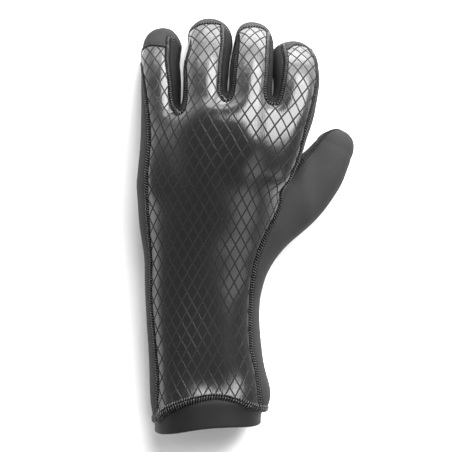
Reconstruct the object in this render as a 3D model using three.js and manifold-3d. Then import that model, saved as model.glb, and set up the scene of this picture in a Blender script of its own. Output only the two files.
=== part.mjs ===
// A neoprene glove for the left hand, lying palm down with relaxed fingers. Millimetres, +Z up.
// X runs from the little finger towards the thumb, Y from the cuff towards the fingertips.
// The outside is one smooth form: a flattened palm tube, four bent finger tubes and a thumb tube,
// blended where they meet. Seam lines cut that form into panels, and each panel gets its wall inwards.

import * as THREE from 'three';
import { mergeVertices } from 'three/addons/utils/BufferGeometryUtils.js';
import Module from 'manifold-3d';

const wasm = await Module();
wasm.setup();

// Sheet thickness and seams
const WALL = 3;
const BAND_WALL = 2;
const SEAM_GAP = 0.3;
const BAND_LAP = 8;
const BAND_CLEARANCE = 0.7;
const BAND_CORNER = 3;

// How softly the tubes run into each other, and how square their sections are
const FINGER_BLEND = 9;
const THUMB_BLEND = 16;
const WEB_BLEND = 12;
const FINGER_SQUARENESS = 2.2;
const PALM_SQUARENESS = 2.5;
const TIP_LENGTH = 1.2;
const BLEND_REACH = 4;

// The middle of the glove's outline on the floor, which becomes the origin
const OUTLINE_MIDDLE = { x: 12.6, y: 129.1 };

// x, y, z is the knuckle. Yaw, pitch, width and height run evenly from the knuckle to the tip's centre.
const FINGERS = [
  { name: 'little', x: -40, y: 172, z: 45, length: 77.5, roll: -15,
    yaw: [-1, 4], pitch: [4, 50], halfWidth: [12.8, 11], halfHeight: [12.5, 11] },
  { name: 'ring', x: -13, y: 180, z: 56, length: 84, roll: -8,
    yaw: [0, 8], pitch: [0, 70], halfWidth: [13.4, 12.3], halfHeight: [13, 11] },
  { name: 'middle', x: 14.5, y: 184, z: 61, length: 83.5, roll: -4,
    yaw: [2, 4], pitch: [0, 81], halfWidth: [13, 12], halfHeight: [13, 11] },
  { name: 'index', x: 36, y: 180, z: 60, length: 78.5, roll: 14,
    yaw: [23, -25], pitch: [2, 84], halfWidth: [14, 12.6], halfHeight: [13, 11] },
];
const FINGER_STEPS = 22;
const FINGER_ROOT = 14;
const ROLL_AT_KNUCKLE = 0.3;

const THUMB = [
  { x: 11.5, y: 109, z: 31, halfWidth: 12.5, halfHeight: 15 },
  { x: 28.5, y: 129, z: 28, halfWidth: 15.6, halfHeight: 17 },
  { x: 45, y: 145.5, z: 22.5, halfWidth: 17, halfHeight: 16 },
  { x: 58.3, y: 161, z: 17, halfWidth: 15.4, halfHeight: 14.7 },
  { x: 65.4, y: 171, z: 13.6, halfWidth: 12.6, halfHeight: 13.2 },
  { x: 67.8, y: 175.2, z: 12.1, halfWidth: 11.4, halfHeight: 12.1 },
];
const THUMB_STEPS = 6;

// Cuff, wrist and palm: a section at each y, with the height of its middle, its slope towards the
// thumb and how far the sides drop below the middle
const PALM = [
  { y: -20, left: -44.5, right: 25.5, middle: 25, halfHeight: 26, slope: 0, drop: 0 },
  { y: 10, left: -45.5, right: 24, middle: 25, halfHeight: 26, slope: 0, drop: 0 },
  { y: 25, left: -46.5, right: 28, middle: 25, halfHeight: 26, slope: 0, drop: 0 },
  { y: 45, left: -47, right: 23.5, middle: 25.5, halfHeight: 25, slope: 0, drop: 0 },
  { y: 70, left: -48.5, right: 21, middle: 27, halfHeight: 24, slope: 0, drop: 0 },
  { y: 90, left: -49.5, right: 22, middle: 30, halfHeight: 23, slope: 0.02, drop: 0.5 },
  { y: 110, left: -50, right: 24, middle: 35, halfHeight: 22, slope: 0.04, drop: 1.5 },
  { y: 130, left: -53, right: 29.5, middle: 42, halfHeight: 20.5, slope: 0.08, drop: 4 },
  { y: 150, left: -54, right: 35, middle: 50, halfHeight: 19, slope: 0.11, drop: 7 },
  { y: 170, left: -51.5, right: 39.5, middle: 57, halfHeight: 17.5, slope: 0.14, drop: 10 },
  { y: 190, left: -49, right: 42.5, middle: 60, halfHeight: 16.5, slope: 0.14, drop: 11 },
  { y: 215, left: -47.5, right: 44.5, middle: 59, halfHeight: 15.5, slope: 0.14, drop: 11 },
];
const PALM_STEPS = 8;

// The front edge of the palm between the fingers
const WEB = [
  { x: -59, y: 188 }, { x: -40.5, y: 195 }, { x: -28.5, y: 197 }, { x: -14.5, y: 202 }, { x: 0.5, y: 204 },
  { x: 15.5, y: 203 }, { x: 29, y: 199.5 }, { x: 43.5, y: 194 }, { x: 65, y: 180 },
];

// Seams, seen from above. The two long seams run from the hem to the little and the index fingertip.
const LEFT_SEAM = [
  { y: 8.5, x: -43.5 }, { y: 25, x: -42 }, { y: 37, x: -42 }, { y: 61, x: -44 }, { y: 84.5, x: -46 },
  { y: 109, x: -46 }, { y: 134, x: -48 }, { y: 158.5, x: -49 }, { y: 186, x: -48 }, { y: 214, x: -50 },
  { y: 237.5, x: -51 },
];
const RIGHT_SEAM = [
  { y: 15.5, x: 22.5 }, { y: 23, x: 21.5 }, { y: 37.5, x: 20 }, { y: 54.5, x: 16.5 }, { y: 78.5, x: 16 },
  { y: 103.5, x: 18.5 }, { y: 122, x: 24 }, { y: 138, x: 31.5 }, { y: 161, x: 40.5 }, { y: 175, x: 46 },
  { y: 189, x: 50 }, { y: 203, x: 54 }, { y: 219, x: 57.5 }, { y: 227, x: 57.5 }, { y: 238, x: 53.5 },
];
const NAIL_SEAM = [
  { x: -51, y: 237.5 }, { x: -46.5, y: 240.5 }, { x: -41.5, y: 241 }, { x: -35.5, y: 240.5 },
  { x: -22.5, y: 248.5 }, { x: -15.5, y: 253 }, { x: -8.5, y: 254 }, { x: -2, y: 253.5 },
  { x: 6.5, y: 248.5 }, { x: 9.5, y: 250 }, { x: 15.5, y: 251.5 }, { x: 23, y: 251.5 },
  { x: 26, y: 249 }, { x: 36, y: 237.5 }, { x: 41.5, y: 241 }, { x: 46.5, y: 241 }, { x: 53.5, y: 238 },
];

// Each fourchette's edge on the back of the hand, down one finger, round the web and up the next
const SLITS = [
  { name: 'fourchette_little_ring', edge: [
    { x: -35, y: 250.5 }, { x: -35, y: 235 }, { x: -33, y: 214 }, { x: -31.5, y: 203 }, { x: -28.5, y: 198 },
    { x: -25.5, y: 200.5 }, { x: -24.5, y: 209.5 }, { x: -23.5, y: 233.5 }, { x: -22, y: 248.5 },
  ] },
  { name: 'fourchette_ring_middle', edge: [
    { x: -1.5, y: 256.5 }, { x: -2.5, y: 245.5 }, { x: -2.5, y: 233.5 }, { x: -3, y: 213.5 }, { x: -1.5, y: 207.5 },
    { x: 1, y: 205 }, { x: 3.5, y: 207.5 }, { x: 5, y: 215.5 }, { x: 6.5, y: 229.5 }, { x: 6.5, y: 248 },
  ] },
  { name: 'fourchette_middle_index', edge: [
    { x: 27, y: 249.5 }, { x: 26, y: 229.5 }, { x: 25.5, y: 209.5 }, { x: 27.5, y: 204 }, { x: 29.5, y: 202.5 },
    { x: 32.5, y: 204.5 }, { x: 35, y: 213.5 }, { x: 37.5, y: 230 }, { x: 36, y: 240 },
  ] },
];
const UNDERSIDE_SLIT_SPREAD = 2;
const PAST_THE_TIPS = 300;
const THUMB_STRIP_BELOW_MIDDLE = 4;
const THUMB_SEAM_TURN = 25;
const BACK_LOWEST = 18;
const FOURCHETTE_LOWEST = 20;

// The hem on the back of the wrist, and the plain line that it follows underneath
const HEM_BACK = [
  { x: -42.5, y: 9 }, { x: -39.5, y: 13 }, { x: -30, y: 18 }, { x: -18.5, y: 22 }, { x: -5, y: 24 },
  { x: 7.5, y: 21.5 }, { x: 16, y: 18 }, { x: 24, y: 15.5 },
];
const HEM_UNDER = [{ x: -42.5, y: 9 }, { x: 24, y: 15.5 }];
const BAND_RIM = [
  { x: -40.5, y: 0 }, { x: -30, y: 1 }, { x: -18, y: 3 }, { x: -4, y: 4.5 }, { x: 20, y: 5 },
];

// Faceting
const PALM_SIDES = 36;
const TUBE_SIDES = 14;
const PALM_RINGS = { first: -8, last: 192, spacing: 8 };
const PALM_END_RINGS = [{ y: 199, scale: 0.95 }, { y: 203, scale: 0.6 }];
const TIP_RINGS = [30, 58, 80];
const BAND_RINGS = 4;
const SHORTEST_EDGE = 2;
const RELAX_ROUNDS = 4;
const WALL_PROBE = 1.5;
const SNAP_SHARE = 0.25;
const SNAP_LIMIT = 0.45;
const HALVINGS = 12;
const ROW_STEPS = 4;

const MATERIALS = {
  coatedSkin: new THREE.MeshStandardMaterial({ color: 0x2b2b2d, roughness: 0.38, metalness: 0 }),
  jersey: new THREE.MeshStandardMaterial({ color: 0x3a3a3c, roughness: 0.85, metalness: 0 }),
  fourchetteJersey: new THREE.MeshStandardMaterial({ color: 0x222223, roughness: 0.85, metalness: 0 }),
  smoothBand: new THREE.MeshStandardMaterial({ color: 0x2a2a2b, roughness: 0.7, metalness: 0 }),
};

// Small helpers

const radians = THREE.MathUtils.degToRad;
const mix = THREE.MathUtils.lerp;
const clamp = THREE.MathUtils.clamp;

function smoothMin(a, b, reach) {
  const overlap = Math.max(reach - Math.abs(a - b), 0) / reach;
  return Math.min(a, b) - (overlap * overlap * reach) / 4;
}

function smoothMax(a, b, reach) {
  return -smoothMin(-a, -b, reach);
}

function catmull(a, b, c, d, t) {
  const t2 = t * t;
  const t3 = t2 * t;
  return 0.5 * (2 * b + (c - a) * t + (2 * a - 5 * b + 4 * c - d) * t2 + (3 * b - a - 3 * c + d) * t3);
}

// A smooth run of rows through the given rows, with some steps to each span
function smoothRows(rows, steps) {
  const names = Object.keys(rows[0]);
  const row = (i) => rows[clamp(i, 0, rows.length - 1)];
  const out = [];
  for (let i = 0; i < rows.length - 1; i += 1) {
    for (let k = 0; k < steps; k += 1) {
      const made = {};
      for (const name of names) {
        made[name] = catmull(row(i - 1)[name], row(i)[name], row(i + 1)[name], row(i + 2)[name], k / steps);
      }
      out.push(made);
    }
  }
  out.push({ ...rows[rows.length - 1] });
  return out;
}

// A table read at any value of one column, held level past its ends
function reader(rows, key, steps = ROW_STEPS) {
  const smooth = smoothRows(rows, steps);
  return (value, name) => {
    let i = 1;
    while (i < smooth.length - 1 && smooth[i][key] < value) i += 1;
    const low = smooth[i - 1];
    const high = smooth[i];
    return mix(low[name], high[name], clamp((value - low[key]) / (high[key] - low[key]), 0, 1));
  };
}

// The tubes: a list of sections, each with a centre, the directions of its side and its back, and sizes

function fingerSections(finger) {
  const centre = new THREE.Vector3(finger.x, finger.y, finger.z);
  const sections = [];
  for (let i = 0; i <= FINGER_STEPS; i += 1) {
    const along = i / FINGER_STEPS;
    const yaw = radians(mix(...finger.yaw, along));
    const pitch = radians(mix(...finger.pitch, along));
    const ahead = new THREE.Vector3(
      Math.sin(yaw) * Math.cos(pitch), Math.cos(yaw) * Math.cos(pitch), -Math.sin(pitch));
    const side = new THREE.Vector3(Math.cos(yaw), -Math.sin(yaw), 0);
    const roll = radians(finger.roll) * clamp(ROLL_AT_KNUCKLE + along, 0, 1);
    side.applyAxisAngle(ahead, roll);
    const back = side.clone().cross(ahead);
    const section = {
      centre: centre.clone(), side, back,
      halfWidth: mix(...finger.halfWidth, along), halfHeight: mix(...finger.halfHeight, along),
    };
    if (i === 0) {
      const root = centre.clone().addScaledVector(ahead, -FINGER_ROOT);
      sections.push({ ...section, centre: root });
    }
    sections.push(section);
    centre.addScaledVector(ahead, finger.length / FINGER_STEPS);
  }
  return sections;
}

function thumbSections() {
  const rows = smoothRows(THUMB, THUMB_STEPS);
  const centres = rows.map((row) => new THREE.Vector3(row.x, row.y, row.z));
  return rows.map((row, i) => {
    const before = centres[Math.max(i - 1, 0)];
    const after = centres[Math.min(i + 1, rows.length - 1)];
    const ahead = after.clone().sub(before).normalize();
    const side = ahead.clone().cross(new THREE.Vector3(0, 0, 1)).normalize();
    const back = side.clone().cross(ahead);
    return { centre: centres[i], side, back, halfWidth: row.halfWidth, halfHeight: row.halfHeight };
  });
}

// First-order distance to a superellipse whose scaled coordinates are x, y and z
function superellipse(scaled, sizes, squareness) {
  const sum = scaled.reduce((total, value) => total + value ** squareness, 0);
  const size = Math.max(sum, 1e-6) ** (1 / squareness);
  const slopes = scaled.map((value, i) => value ** (squareness - 1) / sizes[i]);
  const slope = size ** (1 - squareness) * Math.hypot(...slopes);
  const distance = (size - 1) / Math.max(slope, 1e-3);
  return Math.max(distance, -Math.min(sizes[0], sizes[1]));
}

// Distance to a tube with a rounded far end, with the place beside and above its centre line
function tubeAt(sections, point) {
  let nearest = Infinity;
  let index = 0;
  let part = 0;
  for (let i = 0; i < sections.length - 1; i += 1) {
    const start = sections[i].centre;
    const end = sections[i + 1].centre;
    const dx = end.x - start.x;
    const dy = end.y - start.y;
    const dz = end.z - start.z;
    const px = point.x - start.x;
    const py = point.y - start.y;
    const pz = point.z - start.z;
    const t = clamp((px * dx + py * dy + pz * dz) / (dx * dx + dy * dy + dz * dz), 0, 1);
    const gap = (px - t * dx) ** 2 + (py - t * dy) ** 2 + (pz - t * dz) ** 2;
    if (gap < nearest) {
      nearest = gap;
      index = i;
      part = t;
    }
  }
  const a = sections[index];
  const b = sections[index + 1];
  const offset = point.clone().sub(a.centre.clone().lerp(b.centre, part));
  const side = a.side.clone().lerp(b.side, part).normalize();
  const back = a.back.clone().lerp(b.back, part).normalize();
  const ahead = back.clone().cross(side);
  const halfWidth = mix(a.halfWidth, b.halfWidth, part);
  const halfHeight = mix(a.halfHeight, b.halfHeight, part);
  const tip = (TIP_LENGTH * (halfWidth + halfHeight)) / 2;
  const beside = offset.dot(side);
  const above = offset.dot(back);
  const past = offset.dot(ahead);
  const scaled = [Math.abs(beside) / halfWidth, Math.abs(above) / halfHeight, Math.abs(past) / tip];
  return { distance: superellipse(scaled, [halfWidth, halfHeight, tip], FINGER_SQUARENESS), beside, above };
}

const palmRow = reader(PALM, 'y', PALM_STEPS);
const webRow = reader(WEB, 'x');

function palmSection(y) {
  const left = palmRow(y, 'left');
  const right = palmRow(y, 'right');
  const section = { centre: (left + right) / 2, halfWidth: (right - left) / 2 };
  for (const name of ['middle', 'halfHeight', 'slope', 'drop']) section[name] = palmRow(y, name);
  return section;
}

function palmMiddle(section, beside) {
  return section.middle + section.slope * beside - section.drop * (beside / section.halfWidth) ** 2;
}

function palmAt(point) {
  const section = palmSection(point.y);
  const beside = point.x - section.centre;
  const above = point.z - palmMiddle(section, beside);
  const sizes = [section.halfWidth, section.halfHeight];
  const tube = superellipse([Math.abs(beside) / sizes[0], Math.abs(above) / sizes[1]], sizes, PALM_SQUARENESS);
  return { distance: smoothMax(tube, point.y - webRow(point.x, 'y'), WEB_BLEND), above };
}

const fingers = FINGERS.map(fingerSections);
const thumb = thumbSections();

// Distance to the whole glove's outside, negative inside
function gloveDistance(point) {
  let fingerDistance = Infinity;
  for (const sections of fingers) fingerDistance = Math.min(fingerDistance, tubeAt(sections, point).distance);
  const hand = smoothMin(palmAt(point).distance, fingerDistance, FINGER_BLEND);
  return smoothMin(hand, tubeAt(thumb, point).distance, THUMB_BLEND);
}

function slopeOf(field, point, step = 0.05) {
  const probe = point.clone();
  const slope = new THREE.Vector3();
  for (const axis of ['x', 'y', 'z']) {
    probe[axis] = point[axis] + step;
    const ahead = field(probe);
    probe[axis] = point[axis] - step;
    slope[axis] = (ahead - field(probe)) / (2 * step);
    probe[axis] = point[axis];
  }
  return slope;
}

// The outward direction, read wide enough to pass smoothly through the creases between fingers
function outward(point) {
  return slopeOf(gloveDistance, point, WALL_PROBE).normalize();
}

function dropOnSurface(point, tries = 4) {
  for (let i = 0; i < tries; i += 1) {
    const slope = slopeOf(gloveDistance, point);
    point.addScaledVector(slope, -gloveDistance(point) / Math.max(slope.lengthSq(), 0.2));
  }
}

// Fields that are zero on a seam

// Height above the middle surface of the hand, following the nearest of palm and fingers
function heightAt(point) {
  const parts = [palmAt(point), ...fingers.map((sections) => tubeAt(sections, point))];
  let total = 0;
  let height = 0;
  for (const part of parts) {
    const weight = Math.exp(-Math.max(part.distance, 0) / BLEND_REACH);
    total += weight;
    height += weight * part.above;
  }
  return height / total;
}

// Signed distance in plan to an open edge, negative on the side of the fingertips
function slitField(edge) {
  const points = smoothRows(edge, ROW_STEPS);
  points.unshift({ x: points[0].x, y: PAST_THE_TIPS });
  points.push({ x: points[points.length - 1].x, y: PAST_THE_TIPS });
  return (point) => {
    let nearest = Infinity;
    let inside = false;
    points.forEach((a, i) => {
      const b = points[(i + 1) % points.length];
      const dx = b.x - a.x;
      const dy = b.y - a.y;
      const t = clamp(((point.x - a.x) * dx + (point.y - a.y) * dy) / (dx * dx + dy * dy), 0, 1);
      nearest = Math.min(nearest, Math.hypot(point.x - a.x - t * dx, point.y - a.y - t * dy));
      if (a.y > point.y !== b.y > point.y && point.x < a.x + ((point.y - a.y) * dx) / dy) inside = !inside;
    });
    return inside ? -nearest : nearest;
  };
}

// Signed distance in plan to a seam given as x for each y, positive on its right
function longSeamField(rows) {
  const read = reader(rows, 'y');
  const step = 1;
  return (point) => {
    const x = read(point.y, 'x');
    const lean = (read(point.y + step, 'x') - read(point.y - step, 'x')) / (2 * step);
    return (point.x - x) / Math.hypot(1, lean);
  };
}

const leftOf = longSeamField(LEFT_SEAM);
const rightOf = longSeamField(RIGHT_SEAM);
const nailRow = reader(NAIL_SEAM, 'x');
const hemBackRow = reader(HEM_BACK, 'x');
const hemUnderRow = reader(HEM_UNDER, 'x');
const bandRimRow = reader(BAND_RIM, 'x');
const slits = SLITS.map(({ name, edge }) => ({ name, field: slitField(edge) }));

function hemField(point) {
  const row = heightAt(point) > 0 ? hemBackRow : hemUnderRow;
  return point.y - row(point.x, 'y');
}

function slitAt(slit, point, height) {
  const plan = slit.field(point);
  return Math.max(Math.min(plan, height), Math.min(plan - UNDERSIDE_SLIT_SPREAD, -height));
}

function fourchetteField(slit) {
  return (point) => Math.min(-slitAt(slit, point, heightAt(point)), point.z - FOURCHETTE_LOWEST);
}

function backField(point) {
  const edges = slits.map((slit) => slit.field(point));
  const nails = nailRow(point.x, 'y') - point.y;
  return Math.min(leftOf(point), -rightOf(point), nails, heightAt(point), point.z - BACK_LOWEST, ...edges);
}

function thumbField(point) {
  const hand = Math.min(palmAt(point).distance, ...fingers.map((sections) => tubeAt(sections, point).distance));
  const own = tubeAt(thumb, point);
  const handWeight = Math.exp(-Math.max(hand, 0) / BLEND_REACH);
  const ownWeight = Math.exp(-Math.max(own.distance, 0) / BLEND_REACH);
  const turn = radians(THUMB_SEAM_TURN);
  const ownField = own.above * Math.cos(turn) + own.beside * Math.sin(turn);
  const handField = heightAt(point) + THUMB_STRIP_BELOW_MIDDLE;
  const above = (handWeight * handField + ownWeight * ownField) / (handWeight + ownWeight);
  return Math.min(rightOf(point), above, RIGHT_SEAM[RIGHT_SEAM.length - 1].y - point.y);
}

// The faceted outside

function ringOf(count, squareness, place) {
  const power = 2 / squareness;
  const ring = [];
  for (let i = 0; i < count; i += 1) {
    const turn = (i / count) * 2 * Math.PI;
    const across = Math.sign(Math.cos(turn)) * Math.abs(Math.cos(turn)) ** power;
    const up = Math.sign(Math.sin(turn)) * Math.abs(Math.sin(turn)) ** power;
    ring.push(place(across, up));
  }
  return ring;
}

// A closed solid through rings of points, with a flat fan at each end
function loft(rings) {
  const count = rings[0].length;
  const middle = (ring) => ring.reduce((sum, p) => sum.add(p), new THREE.Vector3()).divideScalar(count);
  const points = [...rings.flat(), middle(rings[0]), middle(rings[rings.length - 1])];
  const faces = [];
  for (let i = 0; i < rings.length - 1; i += 1) {
    for (let k = 0; k < count; k += 1) {
      const a = i * count + k;
      const b = i * count + ((k + 1) % count);
      faces.push([a, b, b + count], [a, b + count, a + count]);
    }
  }
  const last = (rings.length - 1) * count;
  for (let k = 0; k < count; k += 1) {
    const next = (k + 1) % count;
    faces.push([rings.length * count, next, k], [rings.length * count + 1, last + k, last + next]);
  }
  return facingOut({ points, faces });
}

function volumeOf({ points, faces }) {
  const cross = new THREE.Vector3();
  return faces.reduce((sum, [a, b, c]) => sum + points[a].dot(cross.crossVectors(points[b], points[c])) / 6, 0);
}

function facingOut(sheet) {
  if (volumeOf(sheet) < 0) sheet.faces.forEach((face) => face.reverse());
  return sheet;
}

function geometryOf({ points, faces }) {
  const geometry = new THREE.BufferGeometry();
  geometry.setAttribute('position', new THREE.Float32BufferAttribute(points.flatMap((p) => p.toArray()), 3));
  geometry.setIndex(faces.flat());
  return geometry;
}

function solidOf(sheet) {
  const geometry = geometryOf(sheet);
  const vertProperties = geometry.attributes.position.array;
  const triVerts = new Uint32Array(geometry.index.array);
  return new wasm.Manifold(new wasm.Mesh({ numProp: 3, vertProperties, triVerts }));
}

function tubeRing(section, scale = 1, ahead = 0) {
  const forward = section.back.clone().cross(section.side);
  return ringOf(TUBE_SIDES, FINGER_SQUARENESS, (across, up) => section.centre.clone()
    .addScaledVector(section.side, across * section.halfWidth * scale)
    .addScaledVector(section.back, up * section.halfHeight * scale)
    .addScaledVector(forward, ahead));
}

// Every second section, then a rounded tip
function tubeSolid(sections) {
  const rings = sections.filter((_, i) => i % 2 === 0).map((section) => tubeRing(section));
  const end = sections[sections.length - 1];
  if (sections.length % 2 === 0) rings.push(tubeRing(end));
  const tip = (TIP_LENGTH * (end.halfWidth + end.halfHeight)) / 2;
  for (const degrees of TIP_RINGS) {
    const turn = radians(degrees);
    rings.push(tubeRing(end, Math.cos(turn) ** (2 / FINGER_SQUARENESS), tip * Math.sin(turn)));
  }
  return solidOf(loft(rings));
}

function palmRing(y, scale = 1) {
  const section = palmSection(y);
  return ringOf(PALM_SIDES, PALM_SQUARENESS, (across, up) => {
    const beside = across * section.halfWidth * scale;
    const z = palmMiddle(section, beside) + up * section.halfHeight * scale;
    return new THREE.Vector3(section.centre + beside, y, z);
  });
}

function palmSolid() {
  const rings = [];
  for (let y = PALM_RINGS.first; y <= PALM_RINGS.last; y += PALM_RINGS.spacing) rings.push(palmRing(y));
  for (const { y, scale } of PALM_END_RINGS) rings.push(palmRing(y, scale));
  return solidOf(loft(rings));
}

// A solid's points and triangles, with coinciding points made one
function sheetOf(solid) {
  const mesh = solid.getMesh();
  const geometry = new THREE.BufferGeometry();
  geometry.setAttribute('position', new THREE.BufferAttribute(mesh.vertProperties, mesh.numProp));
  geometry.setIndex([...mesh.triVerts]);
  const merged = mergeVertices(geometry, 1e-4);
  const position = merged.attributes.position;
  const points = [];
  for (let i = 0; i < position.count; i += 1) points.push(new THREE.Vector3().fromBufferAttribute(position, i));
  const index = merged.index.array;
  const faces = [];
  for (let i = 0; i < index.length; i += 3) {
    const face = [index[i], index[i + 1], index[i + 2]];
    if (new Set(face).size === 3) faces.push(face);
  }
  return { points, faces };
}

function neighboursOf({ points, faces }) {
  const near = points.map(() => new Set());
  for (const face of faces) {
    face.forEach((a, i) => {
      near[a].add(face[(i + 1) % 3]);
      near[a].add(face[(i + 2) % 3]);
    });
  }
  return near;
}

// Joins the two ends of each edge that is too short, where that leaves the surface whole
function joinShortEdges(sheet, shortest) {
  const near = neighboursOf(sheet);
  const joined = new Map();
  const busy = new Set();
  for (const face of sheet.faces) {
    face.forEach((a, i) => {
      const b = face[(i + 1) % 3];
      if (busy.has(a) || busy.has(b) || sheet.points[a].distanceTo(sheet.points[b]) > shortest) return;
      const shared = [...near[a]].filter((k) => near[b].has(k));
      if (shared.length !== 2) return;
      for (const k of [a, b, ...near[a], ...near[b]]) busy.add(k);
      sheet.points[a].lerp(sheet.points[b], 0.5);
      joined.set(b, a);
    });
  }
  const renamed = sheet.faces.map((face) => face.map((i) => joined.get(i) ?? i));
  sheet.faces = renamed.filter((face) => new Set(face).size === 3);
  return joined.size;
}

function dropUnused(sheet) {
  const used = [...new Set(sheet.faces.flat())];
  const place = new Map(used.map((i, k) => [i, k]));
  sheet.points = used.map((i) => sheet.points[i]);
  sheet.faces = sheet.faces.map((face) => face.map((i) => place.get(i)));
}

// Gives a point its own copy for each fan of triangles that meets only there
function splitPinches(faces, points) {
  const around = new Map();
  faces.forEach((face, f) => face.forEach((i) => around.set(i, [...(around.get(i) ?? []), f])));
  for (const [i, fans] of around) {
    const left = new Set(fans);
    while (left.size > 0) {
      const fan = [left.values().next().value];
      left.delete(fan[0]);
      for (const f of fan) {
        for (const g of [...left]) {
          if (faces[f].filter((k) => faces[g].includes(k)).length > 1) {
            left.delete(g);
            fan.push(g);
          }
        }
      }
      if (left.size === 0) break;
      points.push(points[i].clone());
      for (const f of fan) faces[f] = faces[f].map((k) => (k === i ? points.length - 1 : k));
    }
  }
}

// Spreads the points evenly and sets them on the smooth form
function relax(sheet, rounds) {
  const near = neighboursOf(sheet);
  for (let round = 0; round < rounds; round += 1) {
    const moved = sheet.points.map((point, i) => {
      const middle = new THREE.Vector3();
      for (const k of near[i]) middle.add(sheet.points[k]);
      return point.clone().lerp(middle.divideScalar(near[i].size), 0.5);
    });
    moved.forEach((point, i) => sheet.points[i].copy(point));
    sheet.points.forEach((point) => dropOnSurface(point, 2));
  }
  sheet.points.forEach((point) => dropOnSurface(point));
}

// Cuts the triangles along the line where a field is zero. Points close to it are moved onto it.
function cutAlong(sheet, field) {
  const { points } = sheet;
  const near = neighboursOf(sheet);
  const values = points.map((point, i) => {
    const lengths = [...near[i]].map((k) => point.distanceTo(points[k]));
    const average = lengths.reduce((sum, k) => sum + k, 0) / lengths.length;
    const reach = Math.min(SNAP_SHARE * average, SNAP_LIMIT * Math.min(...lengths));
    let value = field(point);
    if (Math.abs(value) > reach) return value;
    if (!sheet.onSeam.has(i)) {
      for (let k = 0; k < 3; k += 1) {
        const slope = slopeOf(field, point);
        const normal = outward(point);
        slope.addScaledVector(normal, -slope.dot(normal));
        point.addScaledVector(slope, -clamp(value / Math.max(slope.lengthSq(), 0.05), -reach, reach));
        dropOnSurface(point, 2);
        value = field(point);
      }
    }
    sheet.onSeam.add(i);
    return 0;
  });
  const made = new Map();
  const crossing = (a, b) => {
    const key = a < b ? `${a},${b}` : `${b},${a}`;
    if (!made.has(key)) {
      let low = points[a].clone();
      let high = points[b].clone();
      if (values[a] > 0) [low, high] = [high, low];
      for (let k = 0; k < HALVINGS; k += 1) {
        const half = low.clone().lerp(high, 0.5);
        if (field(half) < 0) low = half;
        else high = half;
      }
      const point = low.lerp(high, 0.5);
      dropOnSurface(point, 2);
      points.push(point);
      values.push(0);
      sheet.onSeam.add(points.length - 1);
      made.set(key, points.length - 1);
    }
    return made.get(key);
  };
  const faces = [];
  for (const face of sheet.faces) {
    const side = (i) => Math.sign(values[i]);
    const ring = [];
    face.forEach((a, i) => {
      const b = face[(i + 1) % 3];
      ring.push(a);
      if (side(a) * side(b) < 0) ring.push(crossing(a, b));
    });
    if (ring.length === 3) {
      faces.push(face);
    } else if (ring.length === 4) {
      const start = ring.findIndex((i) => side(i) === 0 && !face.includes(i));
      const [a, b, c, d] = [0, 1, 2, 3].map((k) => ring[(start + k) % 4]);
      faces.push([a, b, c], [a, c, d]);
    } else {
      const start = ring.findIndex((_, i) => side(ring[i]) === 0 && side(ring[(i + 2) % 5]) === 0);
      const [a, b, c, d, e] = [0, 1, 2, 3, 4].map((k) => ring[(start + k) % 5]);
      faces.push([a, b, c]);
      if (points[a].distanceTo(points[d]) < points[c].distanceTo(points[e])) faces.push([a, c, d], [a, d, e]);
      else faces.push([a, c, e], [c, d, e]);
    }
  }
  sheet.faces = faces;
}

// The value of a field over a triangle: that of the corner farthest from its zero line
function fieldOver(field, corners) {
  return corners.map(field).reduce((best, value) => (Math.abs(value) > Math.abs(best) ? value : best), 0);
}

// A panel: its outside, drawn in from the seams by half the gap, its inside, and the edges between
function panelSolid(sheetPoints, sheetFaces) {
  const points = [...sheetPoints];
  const faces = [...sheetFaces];
  splitPinches(faces, points);
  const used = [...new Set(faces.flat())];
  const place = new Map(used.map((i, k) => [i, k]));
  const outer = used.map((i) => points[i].clone());
  const turned = faces.map((face) => face.map((i) => place.get(i)));
  const edges = new Map();
  for (const face of turned) {
    face.forEach((a, i) => {
      const b = face[(i + 1) % 3];
      if (!edges.delete(`${b},${a}`)) edges.set(`${a},${b}`, [a, b]);
    });
  }
  const normals = outer.map(outward);
  const pulls = new Map();
  for (const [a, b] of edges.values()) {
    for (const i of [a, b]) {
      const inwards = normals[i].clone().cross(outer[b].clone().sub(outer[a])).normalize();
      pulls.set(i, (pulls.get(i) ?? new THREE.Vector3()).add(inwards));
    }
  }
  for (const [i, pull] of pulls) {
    outer[i].addScaledVector(pull.normalize(), SEAM_GAP / 2);
    dropOnSurface(outer[i], 2);
  }
  const inner = outer.map((point) => point.clone().addScaledVector(outward(point), -WALL));
  outer.forEach((point) => { point.z = Math.max(point.z, 0); });
  inner.forEach((point) => { point.z = Math.max(point.z, WALL); });
  const count = outer.length;
  // Two neighbours share each seam edge, and both split the wall along it by the same diagonal
  const walls = [...edges.values()].flatMap(([a, b]) => (used[a] < used[b]
    ? [[b, a, b + count], [a, a + count, b + count]]
    : [[b, a, a + count], [b, a + count, b + count]]));
  const inside = turned.map(([a, b, c]) => [a + count, c + count, b + count]);
  return { points: [...outer, ...inner], faces: [...turned, ...inside, ...walls] };
}

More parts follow.
